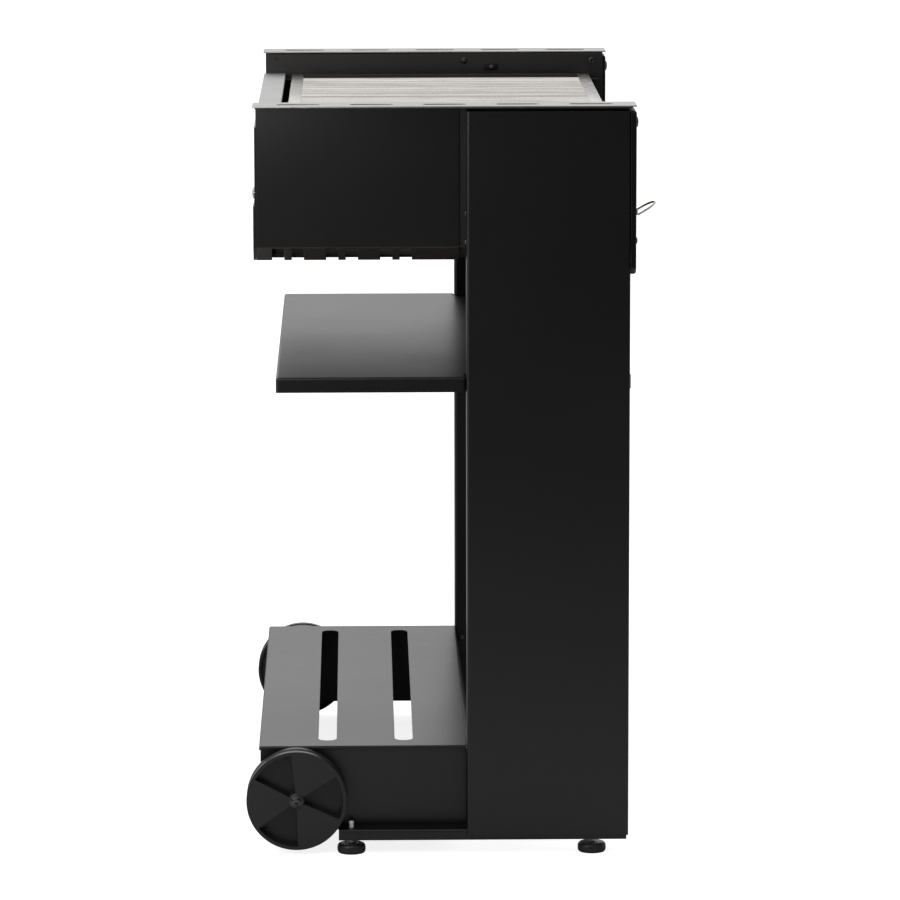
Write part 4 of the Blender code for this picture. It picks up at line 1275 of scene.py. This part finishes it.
def makeStud(name, body, look, finish):
    nodeName = body + "_stud"
    low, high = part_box(nodeName)
    centre = middleOf(low, high)
    root = look["stud"] - look["threadDepth"]
    stud = startRound(name, 24, root, look["plain"], (centre.x, centre.y, low.z + look["plain"] / 2))
    selectFaces(stud, lambda place, normal: normal.z > 0.9)
    turns = int((high.z - low.z - look["plain"] * 2) / look["pitch"])
    wide, narrow = look["stud"] / root, root / look["stud"]
    for turn in range(turns):
        for share, widen in zip(look["thread"], (wide, None, narrow, None)):
            rise = look["pitch"] * share
            bpy.ops.mesh.extrude_region_move(TRANSFORM_OT_translate={"value": (0, 0, rise)})
            if widen:
                bpy.ops.transform.resize(value=(widen, widen, 1))
    insetSteps(look["end"])
    handOver(stud, body, finish, (nodeName,), 25)


rodCount = makeGrate("cooking_grate", "cooking_grate", cookingGrate, finishes["stainless"], rodSteel, False)
makeGrate("charcoal_grate", "charcoal_grate", charcoalGrate, burntAndShadeFinish, burntAndShadeFinish, True)
print("grates made, the upper one with", rodCount, "rods")
makeTongue(baseTongue)
makeBackLedge(backLedge)
for side, sign in (("left", -1), ("right", 1)):
    makeSeam(side, sign, baseSeam)
    makeCover(side, sign, coverNotch)
    makeRim(side, sign, rimLook)
    makeToolLoop(side, toolLoop)
    makeWheel(side, sign, wheelLook, finishes["black_plastic"], sunkShadePlastic)
    makeAxleCap(side, sign, axleCap)
    for end in ("back", "front"):
        body = f"{side}_{end}_foot"
        makeFootPad(body + "_moulded_pad", body, footLook, finishes["black_plastic"])
        makeStud(body + "_threaded_stud", body, footLook, studFinish)
print("tool loops, wheels and feet made")


# soft studio: a pale floor, a white background, a lamp above and two by the left end

studio = {
    "floorSize": 60,
    "floorColor": 0.64,
    "floorFar": 0.10,       # the same well before the grill, towards the camera
    "floorGlow": 0.84,      # what takes the lit floor up to white in view
    "nearFloor": (-3.4, -0.6),      # where the floor turns from the far tone to the near one
    "front": 0.055,         # the room's brightness behind the camera
    "above": 0.86,
    "back": 0.54,           # along the horizon behind the grill
    "backHigh": 1.42,       # the same a little higher up
    "rightDim": 0.40,       # how much darker the room is in front of the grill
    # how far round and how far up the room turns from one brightness to the next
    "sideTurn": (-0.45, 0.30),
    "backTurn": (0.09, 0.25),
    "aboveTurn": (0.25, 0.85),
    "rightTurn": (-0.1, 0.7),
}
lamps = {
    "overheadSoftbox": {
        "place": (0, 0, 3.2),
        "target": (0, 0, 0.5),
        "size": (2.6, 2.6),
        "power": 26,        # watts
        "inReflections": False,
    },
    "leftSoftbox": {
        "place": (-0.95, -1.25, 0.95),
        "target": (-0.1, -0.36, 0.7),
        "size": (0.5, 1.2),
        "power": 5.0,
        "inReflections": True,
    },
    "frontSoftbox": {
        "place": (-0.36, -1.2, 0.95),
        "target": (-0.22, -0.36, 0.87),
        "size": (0.2, 0.2),
        "power": 0.9,
        "inReflections": True,
    },
}


def makeRoom(look):
    world = bpy.data.worlds.new("studioRoom")
    bpy.context.scene.world = world
    world.use_nodes = True
    tree = world.node_tree
    background = tree.nodes["Background"]
    seen = addNode(tree, "ShaderNodeLightPath", {}, {}, "Is Camera Ray")
    direction = addNode(tree, "ShaderNodeTexCoord", {}, {}, "Generated")
    towardsBack = partOf(tree, direction, "Y")
    towardsRight = partOf(tree, direction, "X")
    upward = partOf(tree, direction, "Z")
    back = look["back"] + upward.rising(*look["backTurn"]) * (look["backHigh"] - look["back"])
    room = look["front"] + towardsBack.rising(*look["sideTurn"]) * (back - look["front"])
    room = room + upward.rising(*look["aboveTurn"]) * (look["above"] - room)
    room = room * (1 - towardsRight.rising(*look["rightTurn"]) * look["rightDim"])
    strength = room + seen * (1 - room)
    tree.links.new(strength.socket, background.inputs["Strength"])
    background.inputs["Color"].default_value = (1, 1, 1, 1)


def makeFloor(look):
    bpy.ops.mesh.primitive_plane_add(size=look["floorSize"], location=(0, 0, 0))
    floor = bpy.context.object
    floor.name = "studioFloor"
    material, tree, shader = newMaterial("paleFloor")
    seen = addNode(tree, "ShaderNodeLightPath", {}, {}, "Is Camera Ray")
    along = partOf(tree, objectPoint(tree), "Y")
    near = along.rising(*look["nearFloor"])
    pale = mixedColor(tree, near, grey(look["floorFar"]), grey(look["floorColor"]))
    white = mixedColor(tree, near, grey(1.0), grey(look["floorGlow"]))
    glow = mixedColor(tree, seen, grey(0.0), white)
    feed(shader, Base_Color=pale, Roughness=0.9, Emission_Color=glow)
    shader.inputs["Emission Strength"].default_value = 1.0
    shader.inputs["Specular IOR Level"].default_value = 0
    floor.data.materials.append(material)


def addLamp(name, look):
    lampData = bpy.data.lights.new(name, "AREA")
    lampData.shape = "RECTANGLE"
    lampData.size, lampData.size_y = look["size"]
    lampData.energy = look["power"]
    lamp = bpy.data.objects.new(name, lampData)
    lamp.location = look["place"]
    towards = Vector(look["target"]) - Vector(look["place"])
    lamp.rotation_euler = towards.to_track_quat("-Z", "Y").to_euler()
    lamp.visible_glossy = look["inReflections"]
    lamp.visible_camera = False
    bpy.context.scene.collection.objects.link(lamp)


makeRoom(studio)
makeFloor(studio)
for lampName, lampLook in lamps.items():
    addLamp(lampName, lampLook)
print("studio lit by", len(lamps), "lamps")
